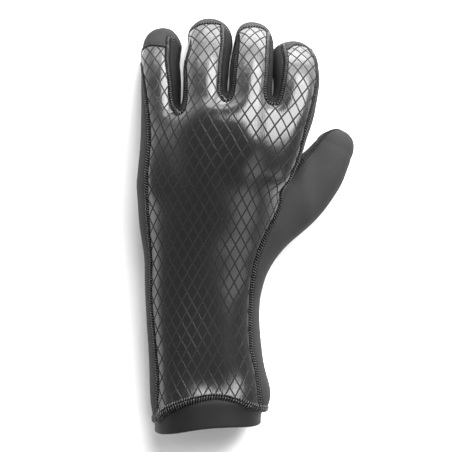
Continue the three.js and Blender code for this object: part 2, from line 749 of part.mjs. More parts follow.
// The band is a short tube of its own, a little smaller than the inside of the hem
function bandSolid() {
  const shrunk = (t, share, inset) => {
    const power = 2 / PALM_SQUARENESS;
    const across = Math.sign(Math.cos(t)) * Math.abs(Math.cos(t)) ** power;
    const up = Math.sign(Math.sin(t)) * Math.abs(Math.sin(t)) ** power;
    const wide = palmSection(0);
    const x = wide.centre + across * (wide.halfWidth - inset);
    const hem = (up > 0 ? hemBackRow : hemUnderRow)(x, 'y');
    const rim = bandRimRow(x, 'y') + BAND_CORNER * Math.abs(across) ** 8;
    const y = mix(rim, hem + BAND_LAP, share);
    const section = palmSection(y);
    const beside = across * (section.halfWidth - inset);
    const z = section.middle + up * (section.halfHeight - inset);
    return new THREE.Vector3(section.centre + beside, y, Math.max(z, inset));
  };
  const points = [];
  const faces = [];
  const outerInset = WALL + BAND_CLEARANCE;
  const loops = 2 * (BAND_RINGS + 1);
  for (let loop = 0; loop < loops; loop += 1) {
    const outside = loop <= BAND_RINGS;
    const share = (outside ? loop : loops - 1 - loop) / BAND_RINGS;
    for (let k = 0; k < PALM_SIDES; k += 1) {
      const turn = (k / PALM_SIDES) * 2 * Math.PI;
      points.push(shrunk(turn, share, outside ? outerInset : outerInset + BAND_WALL));
      const a = loop * PALM_SIDES + k;
      const b = loop * PALM_SIDES + ((k + 1) % PALM_SIDES);
      const c = (a + PALM_SIDES) % (loops * PALM_SIDES);
      const d = (b + PALM_SIDES) % (loops * PALM_SIDES);
      faces.push([a, b, d], [a, d, c]);
    }
  }
  return facingOut({ points, faces });
}

// The glove

const tubes = [...fingers, thumb].map(tubeSolid);
const whole = tubes.reduce((sum, tube) => sum.add(tube), palmSolid());
const sheet = { ...sheetOf(whole), onSeam: new Set() };
while (joinShortEdges(sheet, SHORTEST_EDGE) > 0);
dropUnused(sheet);
relax(sheet, RELAX_ROUNDS);

const panels = [
  ...slits.map((slit) => ({ name: slit.name, field: fourchetteField(slit), material: 'fourchetteJersey' })),
  { name: 'back_panel', field: backField, material: 'coatedSkin' },
  { name: 'thumb_panel', field: thumbField, material: 'jersey' },
];
cutAlong(sheet, hemField);
sheet.faces = sheet.faces.filter((face) => fieldOver(hemField, face.map((i) => sheet.points[i])) > 0);
for (const panel of panels) cutAlong(sheet, panel.field);
panels.push({ name: 'palm_panel', field: () => 1, material: 'jersey' });

const parts = new Map(panels.map((panel) => [panel, []]));
for (const face of sheet.faces) {
  const corners = face.map((i) => sheet.points[i]);
  const owner = panels.find((panel) => fieldOver(panel.field, corners) > 0);
  parts.get(owner).push(face);
}

const glove = new THREE.Group();
glove.position.set(-OUTLINE_MIDDLE.x, -OUTLINE_MIDDLE.y, 0);

function addPiece(name, sheetMade, material) {
  const mesh = new THREE.Mesh(geometryOf(sheetMade), MATERIALS[material]);
  mesh.name = name;
  glove.add(mesh);
}

for (const [panel, faces] of parts) addPiece(panel.name, panelSolid(sheet.points, faces), panel.material);
addPiece('cuff_band', bandSolid(), 'smoothBand');

export default glove;
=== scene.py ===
"""A sewn neoprene glove for the left hand, laid palm down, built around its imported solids.

Lengths in the tables are millimetres in the drawing's frame: X runs from the little finger towards the
thumb, Y from the cuff towards the fingertips, and Z is up. Settings in the sidebar are in metres.
"""
import functools
from collections import namedtuple

import bpy
import numpy as np
from bpy.props import FloatProperty, FloatVectorProperty, IntProperty, PointerProperty
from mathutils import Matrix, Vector
from mathutils.kdtree import KDTree


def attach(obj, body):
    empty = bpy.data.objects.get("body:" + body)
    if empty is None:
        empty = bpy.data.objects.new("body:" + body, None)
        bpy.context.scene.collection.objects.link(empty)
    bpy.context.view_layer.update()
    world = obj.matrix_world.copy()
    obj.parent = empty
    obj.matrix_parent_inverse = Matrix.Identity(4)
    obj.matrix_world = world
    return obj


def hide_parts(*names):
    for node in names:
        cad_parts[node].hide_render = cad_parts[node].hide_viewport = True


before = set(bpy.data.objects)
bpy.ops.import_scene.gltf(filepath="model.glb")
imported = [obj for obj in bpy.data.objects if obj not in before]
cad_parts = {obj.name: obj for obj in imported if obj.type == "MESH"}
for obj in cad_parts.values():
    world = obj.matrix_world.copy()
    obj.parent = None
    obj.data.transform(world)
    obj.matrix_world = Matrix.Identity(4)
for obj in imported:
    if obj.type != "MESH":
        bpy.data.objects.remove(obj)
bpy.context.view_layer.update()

bl_info = {
    "name": "Neoprene glove",
    "version": (1, 0, 0),
    "blender": (4, 5, 0),
    "location": "View3D > Sidebar > Glove",
    "description": "Builds a sewn neoprene glove with a net-printed back, jersey panels and stitched seams",
    "category": "Add Mesh",
}

MM = 0.001
# The middle of the glove's outline on the floor, which is the part's origin
OUTLINE_MIDDLE = np.array((12.6, 129.1, 0.0))

# How softly the tubes run into each other, and how far outside a tube its own readings still count
FINGER_BLEND = 9
THUMB_BLEND = 16
WEB_BLEND = 12
BLEND_REACH = 4
# How square the sections are, where 2 is an ellipse, and a tip's length set against its mean half size
FINGER_SQUARENESS = 2.2
PALM_SQUARENESS = 2.5
TIP_LENGTH = 1.2

# The knuckle, the finger's length and the roll of its sides in degrees. Then, at the knuckle and at the
# middle of the tip, yaw and pitch in degrees, half width and half height
FINGERS = (
    dict(x=-40, y=172, z=45, length=77.5, roll=-15,
         yaw=(-1, 4), pitch=(4, 50), wide=(12.8, 11), high=(12.5, 11)),
    dict(x=-13, y=180, z=56, length=84, roll=-8,
         yaw=(0, 8), pitch=(0, 70), wide=(13.4, 12.3), high=(13, 11)),
    dict(x=14.5, y=184, z=61, length=83.5, roll=-4,
         yaw=(2, 4), pitch=(0, 81), wide=(13, 12), high=(13, 11)),
    dict(x=36, y=180, z=60, length=78.5, roll=14,
         yaw=(23, -25), pitch=(2, 84), wide=(14, 12.6), high=(13, 11)),
)
# Steps along a finger's tube
FINGER_STEPS = 22
# How far a finger's tube reaches back into the hand, and the share of its roll that it has at the knuckle
FINGER_ROOT = 14
ROLL_AT_KNUCKLE = 0.3

# The thumb's x, y, z, half width and half height, and the steps from one row to the next
THUMB = (
    (11.5, 109, 31, 12.5, 15), (28.5, 129, 28, 15.6, 17), (45, 145.5, 22.5, 17, 16),
    (58.3, 161, 17, 15.4, 14.7), (65.4, 171, 13.6, 12.6, 13.2), (67.8, 175.2, 12.1, 11.4, 12.1),
)
THUMB_STEPS = 6

# The hand's y, left, right, middle height, half height, slope towards the thumb and drop of the sides
PALM = (
    (-20, -44.5, 25.5, 25, 26, 0, 0), (10, -45.5, 24, 25, 26, 0, 0), (25, -46.5, 28, 25, 26, 0, 0),
    (45, -47, 23.5, 25.5, 25, 0, 0), (70, -48.5, 21, 27, 24, 0, 0), (90, -49.5, 22, 30, 23, 0.02, 0.5),
    (110, -50, 24, 35, 22, 0.04, 1.5), (130, -53, 29.5, 42, 20.5, 0.08, 4), (150, -54, 35, 50, 19, 0.11, 7),
    (170, -51.5, 39.5, 57, 17.5, 0.14, 10), (190, -49, 42.5, 60, 16.5, 0.14, 11),
    (215, -47.5, 44.5, 59, 15.5, 0.14, 11),
)
PALM_STEPS = 8

# x, y of the front edge of the palm between the fingers
WEB = (
    (-59, 188), (-40.5, 195), (-28.5, 197), (-14.5, 202), (0.5, 204), (15.5, 203), (29, 199.5), (43.5, 194),
    (65, 180),
)

# Seams seen from above. The two long seams run from the hem to the little and the index fingertip: y, x
LEFT_SEAM = (
    (8.5, -43.5), (25, -42), (37, -42), (61, -44), (84.5, -46), (109, -46), (134, -48), (158.5, -49),
    (186, -48), (214, -50), (237.5, -51),
)
RIGHT_SEAM = (
    (15.5, 22.5), (23, 21.5), (37.5, 20), (54.5, 16.5), (78.5, 16), (103.5, 18.5), (122, 24.8), (138, 32.8),
    (161, 42), (175, 47.3), (189, 51), (203, 54.3), (214, 55.5), (227, 54.8), (238, 51),
)
# x, y of the seams over the fingertips, from the little finger to the index finger
NAIL_SEAM = (
    (-51, 237.5), (-46.5, 240.5), (-41.5, 241), (-35.5, 240.5), (-22.5, 248.5), (-15.5, 253), (-8.5, 254),
    (-2, 253.5), (6.5, 248.5), (9.5, 250), (15.5, 251.5), (23, 251.5), (26, 249), (36, 237.5), (41.5, 241),
    (46.5, 241), (53.5, 238),
)
# x, y of each fourchette's edge on the back, down one finger, round the web and up the next
SLITS = (
    ((-35, 250.5), (-35, 235), (-33, 214), (-31.5, 203), (-28.5, 198), (-25.5, 200.5), (-24.5, 209.5),
     (-23.5, 233.5), (-22, 248.5)),
    ((-1.5, 256.5), (-2.5, 245.5), (-2.5, 233.5), (-3, 213.5), (-1.5, 207.5), (1, 205), (3.5, 207.5),
     (5, 215.5), (6.5, 229.5), (6.5, 248)),
    ((27, 249.5), (26, 229.5), (25.5, 209.5), (27.5, 204), (29.5, 202.5), (32.5, 204.5), (35, 213.5),
     (37.5, 230), (36, 240)),
)
# How much further out the strips' edges lie underneath, and where their outlines close, well past the tips
UNDERSIDE_SLIT_SPREAD = 2
PAST_THE_TIPS = 300
# How far below the middle of the hand's side the thumb's panel reaches, and how far its seam is turned
# round the thumb, in degrees
THUMB_STRIP_BELOW_MIDDLE = 4
THUMB_SEAM_TURN = 38
# Behind the index knuckle the back and the thumb's panel reach further down, to meet in the web of the thumb
WEB_JOIN_Y = 160
WEB_JOIN_REACH = 13
WEB_JOIN_DROP = 11
# There the long seam leans in below this height, so that the strip runs down the hand's side to the thumb
WEB_LEAN_BELOW = 6
# The lowest places of the back and of the strips between the fingers
BACK_LOWEST = 18
FOURCHETTE_LOWEST = 20
# Steps from one point of a seam or an edge to the next
ROW_STEPS = 4

# x, y of the hem on the back of the wrist, the plain line that it follows underneath, and the band's rim
HEM_BACK = (
    (-42.5, 9), (-39.5, 13), (-30, 18), (-18.5, 21.7), (-5, 23.5), (7.5, 20.8), (16, 17.3), (24, 15.5),
)
HEM_UNDER = ((-42.5, 9), (24, 15.5))
BAND_RIM = ((-40.5, 0), (-30, 1), (-18, 3), (-4, 4.5), (20, 5))
# How deep the band lies inside the hem, how far it steps out below it and over which part of its length, and
# how far it runs on inside the glove
BAND_INSET = 3.7
BAND_STEP = 2
BAND_STEP_PART = 0.45
BAND_LAP = 8
# How far the band's rim is drawn up at its sides, and how close to them that begins
BAND_CORNER = 1.5
BAND_CORNER_SQUARENESS = 14
# Edges that turn more than this, in radians, stay sharp
SHARP_TURN = 1.1
# How many points of the sheet a place on it is read from
NEAREST = 4

PANELS = (
    "fourchette_little_ring", "fourchette_ring_middle", "fourchette_middle_index", "back_panel",
    "thumb_panel", "palm_panel",
)
FOURCHETTES = PANELS[:3]
BACK, THUMB_PANEL, PALM_PANEL = range(len(FOURCHETTES), len(PANELS))
# Stands beside the panels' numbers for the seams over the fingertips
TIPS = len(PANELS)

# The box that the sheet's net of cells fills, and how many cells to a side a first, coarse look takes as one
NET_LOW = np.array((-62.0, 2.0, -4.0))
NET_HIGH = np.array((86.0, 262.0, 84.0))
BLOCK = 4
CORNERS = [np.array(corner) for corner in np.ndindex(2, 2, 2)]
# What stands for a place far away, and how far round a tube's middle line its distance is read at all
FAR = 1e3
TUBE_REACH = 40
# Over what length a field's slope is read
SLOPE_STEP = 0.05
# How often, and how far each time, a point moves to the middle of its neighbours
SPREAD_ROUNDS = 4
SPREAD_SHARE = 0.5
SNAP_ROUNDS = 4
SPUR_ROUNDS = 4
# The place that a panel keeps when it is laid flat, and how long and how well its flat shape is fitted
FLAT_ANCHOR = (-12, 100, 50)
FLAT_TRIES = 1200
FLAT_FIT = 1e-9
# The least values that a division is given
TINY = 1e-9
LEAST_WEIGHT = 1e-30
LEAST_SIZE = 1e-6
LEAST_SLOPE = 1e-3
SETTLE_STEEPNESS = 0.2
SNAP_STEEPNESS = 0.05

# How often the cloth is smoothed where it bridges the dips between the knuckles, from where to where along
# the glove, over what length that fades, and above what height
SOFTEN_ROUNDS = 60
SOFT_FROM = 122
SOFT_TO = 222
SOFT_FADE = 14
SOFT_LOWEST = 30
# x, y, reach where the root of the thumb keeps its own folds
SOFT_SPARES = (56, 150, 13)
# Factors on the distance to the hem and to the seams over the fingertips, which dull the film's gloss and lay
# the painted seam shade more and less widely than beside other seams, and how far along the glove those over
# the fingertips begin
HEM_DULLING_AND_SHADE = 0.85
TIP_DULLING_AND_SHADE = 2.2
TIP_SEAMS_FROM = 237
# How deep the middle of the rolled edge lies under the cloth
HEM_SUNK = 1.4
# Spacing and smoothing of the lines that the thread follows
SEAM_SPACING = 0.6
SEAM_ROUNDS = 8
# Runs of no more points than this aren't sewn
SHORTEST_SEAM = 4

# x, y, reach, then how far the cloth moves along X and Y, and how far its upper side moves along Z
DRAPE = (
    (-9, 207, 9, 0, 0, 2.6), (-38, 201, 8, 0, 0, 3), (15, 208, 8, 0, 0, 2), (20, 180, 9, 0, 0, 1.3),
    (24, 193, 8, 0, 0, -1), (16, 132, 14, 0, 0, 1.5), (40, 143, 9, 0, 0, 2), (30, 133, 10, 0, 0, 2),
    (-46, 235, 14, -1.6, 0.3, 0), (-24, 232, 9, -1.5, 0, 0), (-12, 254, 9, 0, 1, 0), (14, 253, 9, 0, 1, 0),
    (58, 220, 12, 1.6, 0, 0), (57, 181, 9, -1.2, 1.6, 0), (5, 28, 28, 0, 0, -2.2),
    (48, 166, 5, 0, 0, 1.2), (49, 158, 5, 0, 0, 2.2), (50, 150, 5, 0, 0, 2.4), (51, 142, 5, 0, 0, 2.2),
    (51.7, 134, 5, 0, 0, 1.4), (42, 155, 8, 0, 0, 1.6), (47.5, 170, 7, 0, 0, 1.2), (47, 169, 8, 0.8, 2.6, 0),
    (1, 243, 9, 1.6, 0, 0), (-28, 238, 8, 1.7, 0, 0), (-22, 250, 7, -1.5, 0, 0), (55, 234, 8, 1.8, 0.5, 0),
    (-53, 180, 14, 1.3, 0, 0), (-46, 10, 8, 1.4, 0, 0), (-12, 33, 12, 0, 0, -1.3),
)
# Over what height the drape fades out, and how fast the thumb's own upper side stops counting beside it
DRAPE_FADE = 12
THUMB_FADE = 2

# Width of a column of the jersey's loops, drawn a little wider than real ones so that it can show. Then the
# length of a loop against that width, how far the loops lean, and how much of the relief the columns make
KNIT_PITCH = 0.9
KNIT_LOOP = 0.8
KNIT_LEAN = 1.2
KNIT_COLUMNS = 0.6
# How much the loops count in the relief, beside the film on the back and beside the jersey's own grain
FILM_KNIT = 0.2
JERSEY_KNIT = 0.7
# Where the edge of a net line begins and ends, set against half the line's width
LINE_EDGE = (0.8, 1.3)
# From where to where beside a seam the cloth turns from dulled and shaded to clear, and how dark the painted
# shade there leaves the colour
DULLING_AND_SHADE_EDGE = (1.6, 2.2)
PAINTED_SEAM_SHADE = 0.25
# How many grains, clouds or painted glints of each pattern there are to a millimetre
FILM_CLOUDS = 0.09
JERSEY_GRAINS = 1.4
JERSEY_CLOUDS = 0.06
RUBBER_GRAINS = 0.9
RUBBER_CLOUDS = 0.05
THREAD_GRAINS = 2.5
THREAD_GLINTS = 0.9
PAPER_GRAINS = 0.6
JERSEY_SHINE = {"jersey": 0.2, "lining": 0.2, "fourchette": 0.1}
# Where a Mix node for colours keeps its two colours and its result
MIX_FIRST, MIX_SECOND, MIX_RESULT = 6, 7, 2

# Steps along a stitch, sides of its thread and sides of the bead, and how much stitches differ in size
STITCH_STEPS = 8
THREAD_SIDES = 8
BEAD_SIDES = 10
STITCH_LEAST = (0.92, 0.88, 0.8)
STITCH_MOST = (1.08, 1.08, 1.2)
# Length across the hem and height of the hem's stitches, set against the radius of the rolled edge
HEM_STITCH_WIDTH = 2.6
HEM_STITCH_RISE = 1.15

# Name, degrees from straight up, degrees from +X towards +Y, then distance, width and height in metres, and
# the setting that holds the power
PANEL_LIGHTS = (
    ("softbox", 47, 62, 1.5, 1.3, 1.9, "key"),
    ("back_light", 85, 80, 1.6, 2.0, 0.7, "fill"),
    ("left_card", 79, 196, 1.5, 2.6, 0.5, "left"),
    ("right_card", 40, -56, 1.5, 0.8, 0.8, "right"),
)

# The light that makes the paper glow beyond the fingertips, in metres, with its cone in degrees
FLOOR_LIGHT_FROM = (0.03, 0.27, 0.4)
FLOOR_LIGHT_TO = (0.03, 0.245, 0.0)
FLOOR_LIGHT_CONE = 30
FLOOR_LIGHT_BLEND = 0.5
FLOOR_LIGHT_SIZE = 0.02
# Half the floor's width in metres, and how closely the brighter walls keep to the horizon
FLOOR_HALF = 3.0
HORIZON_POWER = 3.0
# How far the camera sees, in metres
CAMERA_REACH = 20

# Sections along a tube, each value an array with a row to a section
Tube = namedtuple("Tube", "centre side back half_width half_height")
# away and hem are distances to the nearest seam and to the hem, and the last is the distance by which the
# film's gloss is dulled and the cloth's colour darkened with painted shade along the seams
Sheet = namedtuple("Sheet", "points faces labels normals grain seams away hem marked")


# Settings that a user would change

def length(name, value, description, least=0):
    return FloatProperty(
        name=name, default=value, min=least, unit="LENGTH", precision=5, description=description)


def watts(name, value, description):
    return FloatProperty(name=name, default=value, min=0, unit="POWER", description=description)


def amount(name, value, description):
    return FloatProperty(name=name, default=value, min=0, description=description)


def linear(hex_colour):
    """Turns an sRGB hex colour to linear light."""
    values = [int(hex_colour[i:i + 2], 16) / 255 for i in (0, 2, 4)]
    return [v / 12.92 if v <= 0.04045 else ((v + 0.055) / 1.055) ** 2.4 for v in values]


def colour(name, hex_colour, description):
    return FloatVectorProperty(
        name=name, default=linear(hex_colour), size=3, min=0, max=1, subtype="COLOR", description=description)


class GloveSheet(bpy.types.PropertyGroup):
    wall: length("Wall", 0.003, "Thickness of the neoprene")
    pitch: length("Pitch", 0.0012, "Spacing of the points that the panels are made from")
    groove_depth: length("Groove depth", 0.0004, "How far the thread draws the panels in at a seam")
    groove_width: length("Groove width", 0.0026, "How far from a seam the panels are drawn in")
    fourchette_puff: length("Fourchette puff", 0.0009, "How far the strips between the fingers stand out")
    puff_reach: length("Puff reach", 0.005, "How far from their seams the strips reach their full height")
    flare: length("Hem flare", 0.0009, "How far the cloth stands out at the hem")
    flare_reach: length("Hem flare reach", 0.017, "How far from the hem the cloth begins to stand out")
    seam_gap: length("Seam gap", 0.0002, "Space between the edges of two panels")


class GloveNet(bpy.types.PropertyGroup):
    cell_width: length("Cell width", 0.0067, "Width of one diamond of the printed net")
    cell_height: length("Cell height", 0.0118, "Height of one diamond of the printed net")
    line_width: length("Line width", 0.00076, "Width of the net's lines")


class GloveStitches(bpy.types.PropertyGroup):
    pitch: length("Pitch", 0.0016, "Length of one stitch along the seam")
    width: length("Width", 0.0024, "Length of one stitch across the seam")
    thread: length("Thread radius", 0.00024, "Radius of the thread")
    bead: length("Bead radius", 0.0004, "Radius of the glued bead under the stitches")
    tip_width: length("Tip width", 0.0011, "Length of one stitch across the seams over the fingertips")
    lift: length("Lift", 0.0005, "Height of the thread's middle over the bottom of the groove")
    hem_thread: length("Hem thread radius", 0.00027, "Radius of the thread over the hem")
    hem_row: length("Hem row", 0.0017, "How far the second row of stitches lies from the hem")
    hem_bead: length("Hem bead radius", 0.0016, "Radius of the rolled edge inside the hem's stitches")
    seed: IntProperty(
        name="Seed", default=7, min=0, description="Seed of the small differences between stitches")


class GloveColours(bpy.types.PropertyGroup):
    skin: colour("Skin", "121212", "Film on the back's cells")
    net: colour("Net line", "1d1d1d", "Lines of the net, where the jersey shows")
    jersey: colour("Jersey", "1d1d1d", "Nylon jersey of palm and thumb")
    # The strips' jersey is darker than the palm's, partly its own tone and partly painted shade between the
    # fingers
    fourchette: colour("Fourchette", "0f0f0f", "Nylon jersey of the strips between the fingers")
    lining: colour("Lining", "1c1c1c", "Jersey inside the glove")
    band: colour("Band", "0c0c0c", "Smooth rubber of the cuff band")
    thread: colour("Thread", "101010", "Polyester thread")
    floor: colour("Floor", "f2f2f2", "Paper under the glove")


class GloveStudio(bpy.types.PropertyGroup):
    key: watts("Key light", 120, "Power of the large softbox")
    fill: watts("Fill light", 28, "Power of the low back light")
    left: watts("Left card", 8, "Power of the left card")
    right: watts("Right card", 4, "Power of the right card")
    spot: watts("Floor light", 46, "Power of the light on the floor beyond the fingertips")
    ambient: amount("Ambient", 0.15, "Strength of the light from all sides")
    horizon: amount("Horizon", 20, "How much brighter the walls are")
    lens: length("Lens", 0.5, "Focal length of the camera", 0.02)


# The form: distances to tubes, blended where they meet

def smooth_rows(rows, steps):
    """A smooth run of rows through the given ones, with some steps to each span."""
    rows = np.array(rows, float)
    rows = np.vstack([rows[:1], rows, rows[-1:]])
    t = (np.arange(steps) / steps)[:, None]
    spans = []
    for a, b, c, d in zip(rows, rows[1:], rows[2:], rows[3:]):
        spans.append(0.5 * (2 * b + (c - a) * t + (2 * a - 5 * b + 4 * c - d) * t**2
                            + (3 * b - a - 3 * c + d) * t**3))
    return np.vstack([*spans, rows[-1:]])


def smooth_min(a, b, reach):
    overlap = np.maximum(reach - np.abs(a - b), 0) / reach
    return np.minimum(a, b) - overlap**2 * reach / 4


def smooth_max(a, b, reach):
    return -smooth_min(-a, -b, reach)


def unit(vectors):
    return vectors / np.maximum(np.linalg.norm(vectors, axis=-1, keepdims=True), TINY)


def dot(a, b):
    return np.einsum("ij,ij->i", a, b)


def finger_tube(finger):
    """A finger's sections from inside the hand to the middle of the tip."""
    part = np.arange(FINGER_STEPS + 1) / FINGER_STEPS
    yaw, pitch = (np.radians(np.interp(part, (0, 1), finger[key])) for key in ("yaw", "pitch"))
    ahead = np.stack([np.sin(yaw) * np.cos(pitch), np.cos(yaw) * np.cos(pitch), -np.sin(pitch)], -1)
    steps = np.cumsum(ahead[:-1], axis=0) * finger["length"] / FINGER_STEPS
    centre = np.array([finger[key] for key in "xyz"]) + np.vstack([np.zeros(3), steps])
    side = np.stack([np.cos(yaw), -np.sin(yaw), 0 * yaw], -1)
    roll = np.radians(finger["roll"]) * np.clip(ROLL_AT_KNUCKLE + part, 0, 1)[:, None]
    side = side * np.cos(roll) + np.cross(ahead, side) * np.sin(roll)
    sections = Tube(centre, side, np.cross(side, ahead), *(
        np.interp(part, (0, 1), finger[key]) for key in ("wide", "high")))
    root = centre[0] - ahead[0] * FINGER_ROOT
    grown = [np.concatenate([values[:1], values]) for values in sections]
    grown[0][0] = root
    return Tube(*grown)


def thumb_tube():
    rows = smooth_rows(THUMB, THUMB_STEPS)
    centre = rows[:, :3]
    ends = np.vstack([centre[:1], centre, centre[-1:]])
    ahead = unit(ends[2:] - ends[:-2])
    side = unit(np.cross(ahead, (0, 0, 1)))
    return Tube(centre, side, np.cross(side, ahead), rows[:, 3], rows[:, 4])


def superellipse(scaled, sizes, squareness):
    """First-order distance to a superellipse from its scaled coordinates."""
    size = np.maximum(sum(v**squareness for v in scaled), LEAST_SIZE) ** (1 / squareness)
    slopes = sum((v ** (squareness - 1) / a) ** 2 for v, a in zip(scaled, sizes))
    distance = (size - 1) / np.maximum(size ** (1 - squareness) * np.sqrt(slopes), LEAST_SLOPE)
    return np.maximum(distance, -np.minimum(sizes[0], sizes[1]))


def station(tube, p):
    """The tube's section nearest each point."""
    nearest = np.full(len(p), np.inf)
    index = np.zeros(len(p), int)
    part = np.zeros(len(p))
    for i, (start, end) in enumerate(zip(tube.centre, tube.centre[1:])):
        run = end - start
        offset = p - start
        t = np.clip(offset @ run / (run @ run), 0, 1)
        gap = ((offset - t[:, None] * run) ** 2).sum(1)
        closer = gap < nearest
        nearest[closer], part[closer], index[closer] = gap[closer], t[closer], i
    return Tube(*((values[index].T * (1 - part) + values[index + 1].T * part).T for values in tube))


def tube_at(tube, points):
    """Distance, place beside the middle line and place above it, for the points near a tube."""
    found = np.array([[FAR], [0], [0]]).repeat(len(points), axis=1)
    near = ((points > tube.centre.min(0) - TUBE_REACH) & (points < tube.centre.max(0) + TUBE_REACH)).all(1)
    p = points[near]
    here = station(tube, p)
    side, back = unit(here.side), unit(here.back)
    offset = p - here.centre
    beside, above, past = (dot(offset, axis) for axis in (side, back, np.cross(back, side)))
    tip = TIP_LENGTH * (here.half_width + here.half_height) / 2
    sizes = (here.half_width, here.half_height, tip)
    scaled = [np.abs(v) / a for v, a in zip((beside, above, past), sizes)]
    found[:, near] = superellipse(scaled, sizes, FINGER_SQUARENESS), beside, above
    return found


PALM_ROWS = smooth_rows(PALM, PALM_STEPS)
WEB_ROWS = smooth_rows(WEB, ROW_STEPS)


def palm_section(y):
    left, right, middle, half_height, slope, drop = (
        np.interp(y, PALM_ROWS[:, 0], PALM_ROWS[:, i]) for i in range(1, 7))
    return (left + right) / 2, (right - left) / 2, middle, half_height, slope, drop


def palm_at(points):
    """Distance to the palm's tube, and the place above its middle surface."""
    x, y, z = points.T
    centre, half_width, middle, half_height, slope, drop = palm_section(y)
    beside = x - centre
    above = z - (middle + slope * beside - drop * (beside / half_width) ** 2)
    scaled = (np.abs(beside) / half_width, np.abs(above) / half_height)
    tube = superellipse(scaled, (half_width, half_height), PALM_SQUARENESS)
    front = y - np.interp(x, WEB_ROWS[:, 0], WEB_ROWS[:, 1])
    return smooth_max(tube, front, WEB_BLEND), above


FINGER_TUBES = [finger_tube(finger) for finger in FINGERS]
THUMB_TUBE = thumb_tube()


def glove_distance(points):
    """Distance to the glove's outside, negative within it."""
    fingers = np.min([tube_at(tube, points)[0] for tube in FINGER_TUBES], axis=0)
    hand = smooth_min(palm_at(points)[0], fingers, FINGER_BLEND)
    return smooth_min(hand, tube_at(THUMB_TUBE, points)[0], THUMB_BLEND)


def slope_of(field, points, step=SLOPE_STEP):
    """The slope of a field, from its values at the four corners of a small tetrahedron."""
    corners = np.array([(1, -1, -1), (-1, -1, 1), (-1, 1, -1), (1, 1, 1)])
    return sum(corner * field(points + corner * step)[:, None] for corner in corners) / (4 * step)


def settle(points, tries=2):
    """Sets points on the glove's outside."""
    for _ in range(tries):
        slope = slope_of(glove_distance, points)
        steep = np.maximum(dot(slope, slope), SETTLE_STEEPNESS)
        points = points - slope * (glove_distance(points) / steep)[:, None]
    return points


# Seams: fields that are zero on a seam and positive inside the panel

def slit_field(edge):
    """Signed distance in plan to an open edge, negative on the side of the fingertips."""
    line = smooth_rows(edge, ROW_STEPS)
    ring = np.vstack([(line[0, 0], PAST_THE_TIPS), line, (line[-1, 0], PAST_THE_TIPS)])

    def read(points):
        plan = points[:, :2]
        nearest = np.full(len(plan), np.inf)
        inside = np.zeros(len(plan), bool)
        for a, b in zip(ring, np.roll(ring, -1, axis=0)):
            run = b - a
            offset = plan - a
            t = np.clip(offset @ run / (run @ run), 0, 1)
            nearest = np.minimum(nearest, np.linalg.norm(offset - t[:, None] * run, axis=1))
            level = (a[1] > plan[:, 1]) != (b[1] > plan[:, 1])
            inside ^= level & (offset[:, 0] < offset[:, 1] * run[0] / (run[1] or 1))
        return np.where(inside, -nearest, nearest)

    return read


def long_seam_field(rows):
    """Signed distance in plan to a seam given as x for each y, positive on its right."""
    rows = smooth_rows(rows, ROW_STEPS)

    def read(points):
        x = np.interp(points[:, 1], rows[:, 0], rows[:, 1])
        ahead, behind = (np.interp(points[:, 1] + step, rows[:, 0], rows[:, 1]) for step in (1, -1))
        return (points[:, 0] - x) / np.hypot(1, (ahead - behind) / 2)

    return read


SLIT_FIELDS = [slit_field(edge) for edge in SLITS]
left_of = long_seam_field(LEFT_SEAM)
right_of = long_seam_field(RIGHT_SEAM)
NAIL_ROWS = smooth_rows(NAIL_SEAM, ROW_STEPS)
HEM_BACK_ROWS = smooth_rows(HEM_BACK, ROW_STEPS)
HEM_UNDER_ROWS = smooth_rows(HEM_UNDER, ROW_STEPS)
BAND_RIM_ROWS = smooth_rows(BAND_RIM, ROW_STEPS)


def hem_line(x, back):
    """y of the hem, on the back of the wrist or underneath."""
    return np.where(back, *(np.interp(x, rows[:, 0], rows[:, 1]) for rows in (HEM_BACK_ROWS, HEM_UNDER_ROWS)))


def share_at(distance):
    """How much a tube counts at a distance from it: wholly inside, and less and less outside."""
    return np.exp(-np.maximum(distance, 0) / BLEND_REACH)


def read_parts(points):
    """Height above the hand's middle surface, distance to the hand, and the thumb's own readings."""
    palm, above = palm_at(points)
    parts = [(palm, above)] + [tube_at(tube, points)[[0, 2]] for tube in FINGER_TUBES]
    weights = [share_at(distance) for distance, _ in parts]
    total = np.maximum(sum(weights), LEAST_WEIGHT)
    height = sum(weight * place for weight, (_, place) in zip(weights, parts)) / total
    return height, np.min([distance for distance, _ in parts], axis=0), tube_at(THUMB_TUBE, points)


def grain_at(points):
    """The direction in which the panels are cut: along the arm, and along each finger."""
    total = share_at(palm_at(points)[0])[:, None] * (0, 1, 0)
    for tube in (*FINGER_TUBES, THUMB_TUBE):
        here = station(tube, points)
        weight = share_at(tube_at(tube, points)[0])
        total = total + weight[:, None] * np.cross(here.back, here.side)
    return unit(total)


def hem_field(points):
    return points[:, 1] - hem_line(points[:, 0], read_parts(points)[0] > 0)


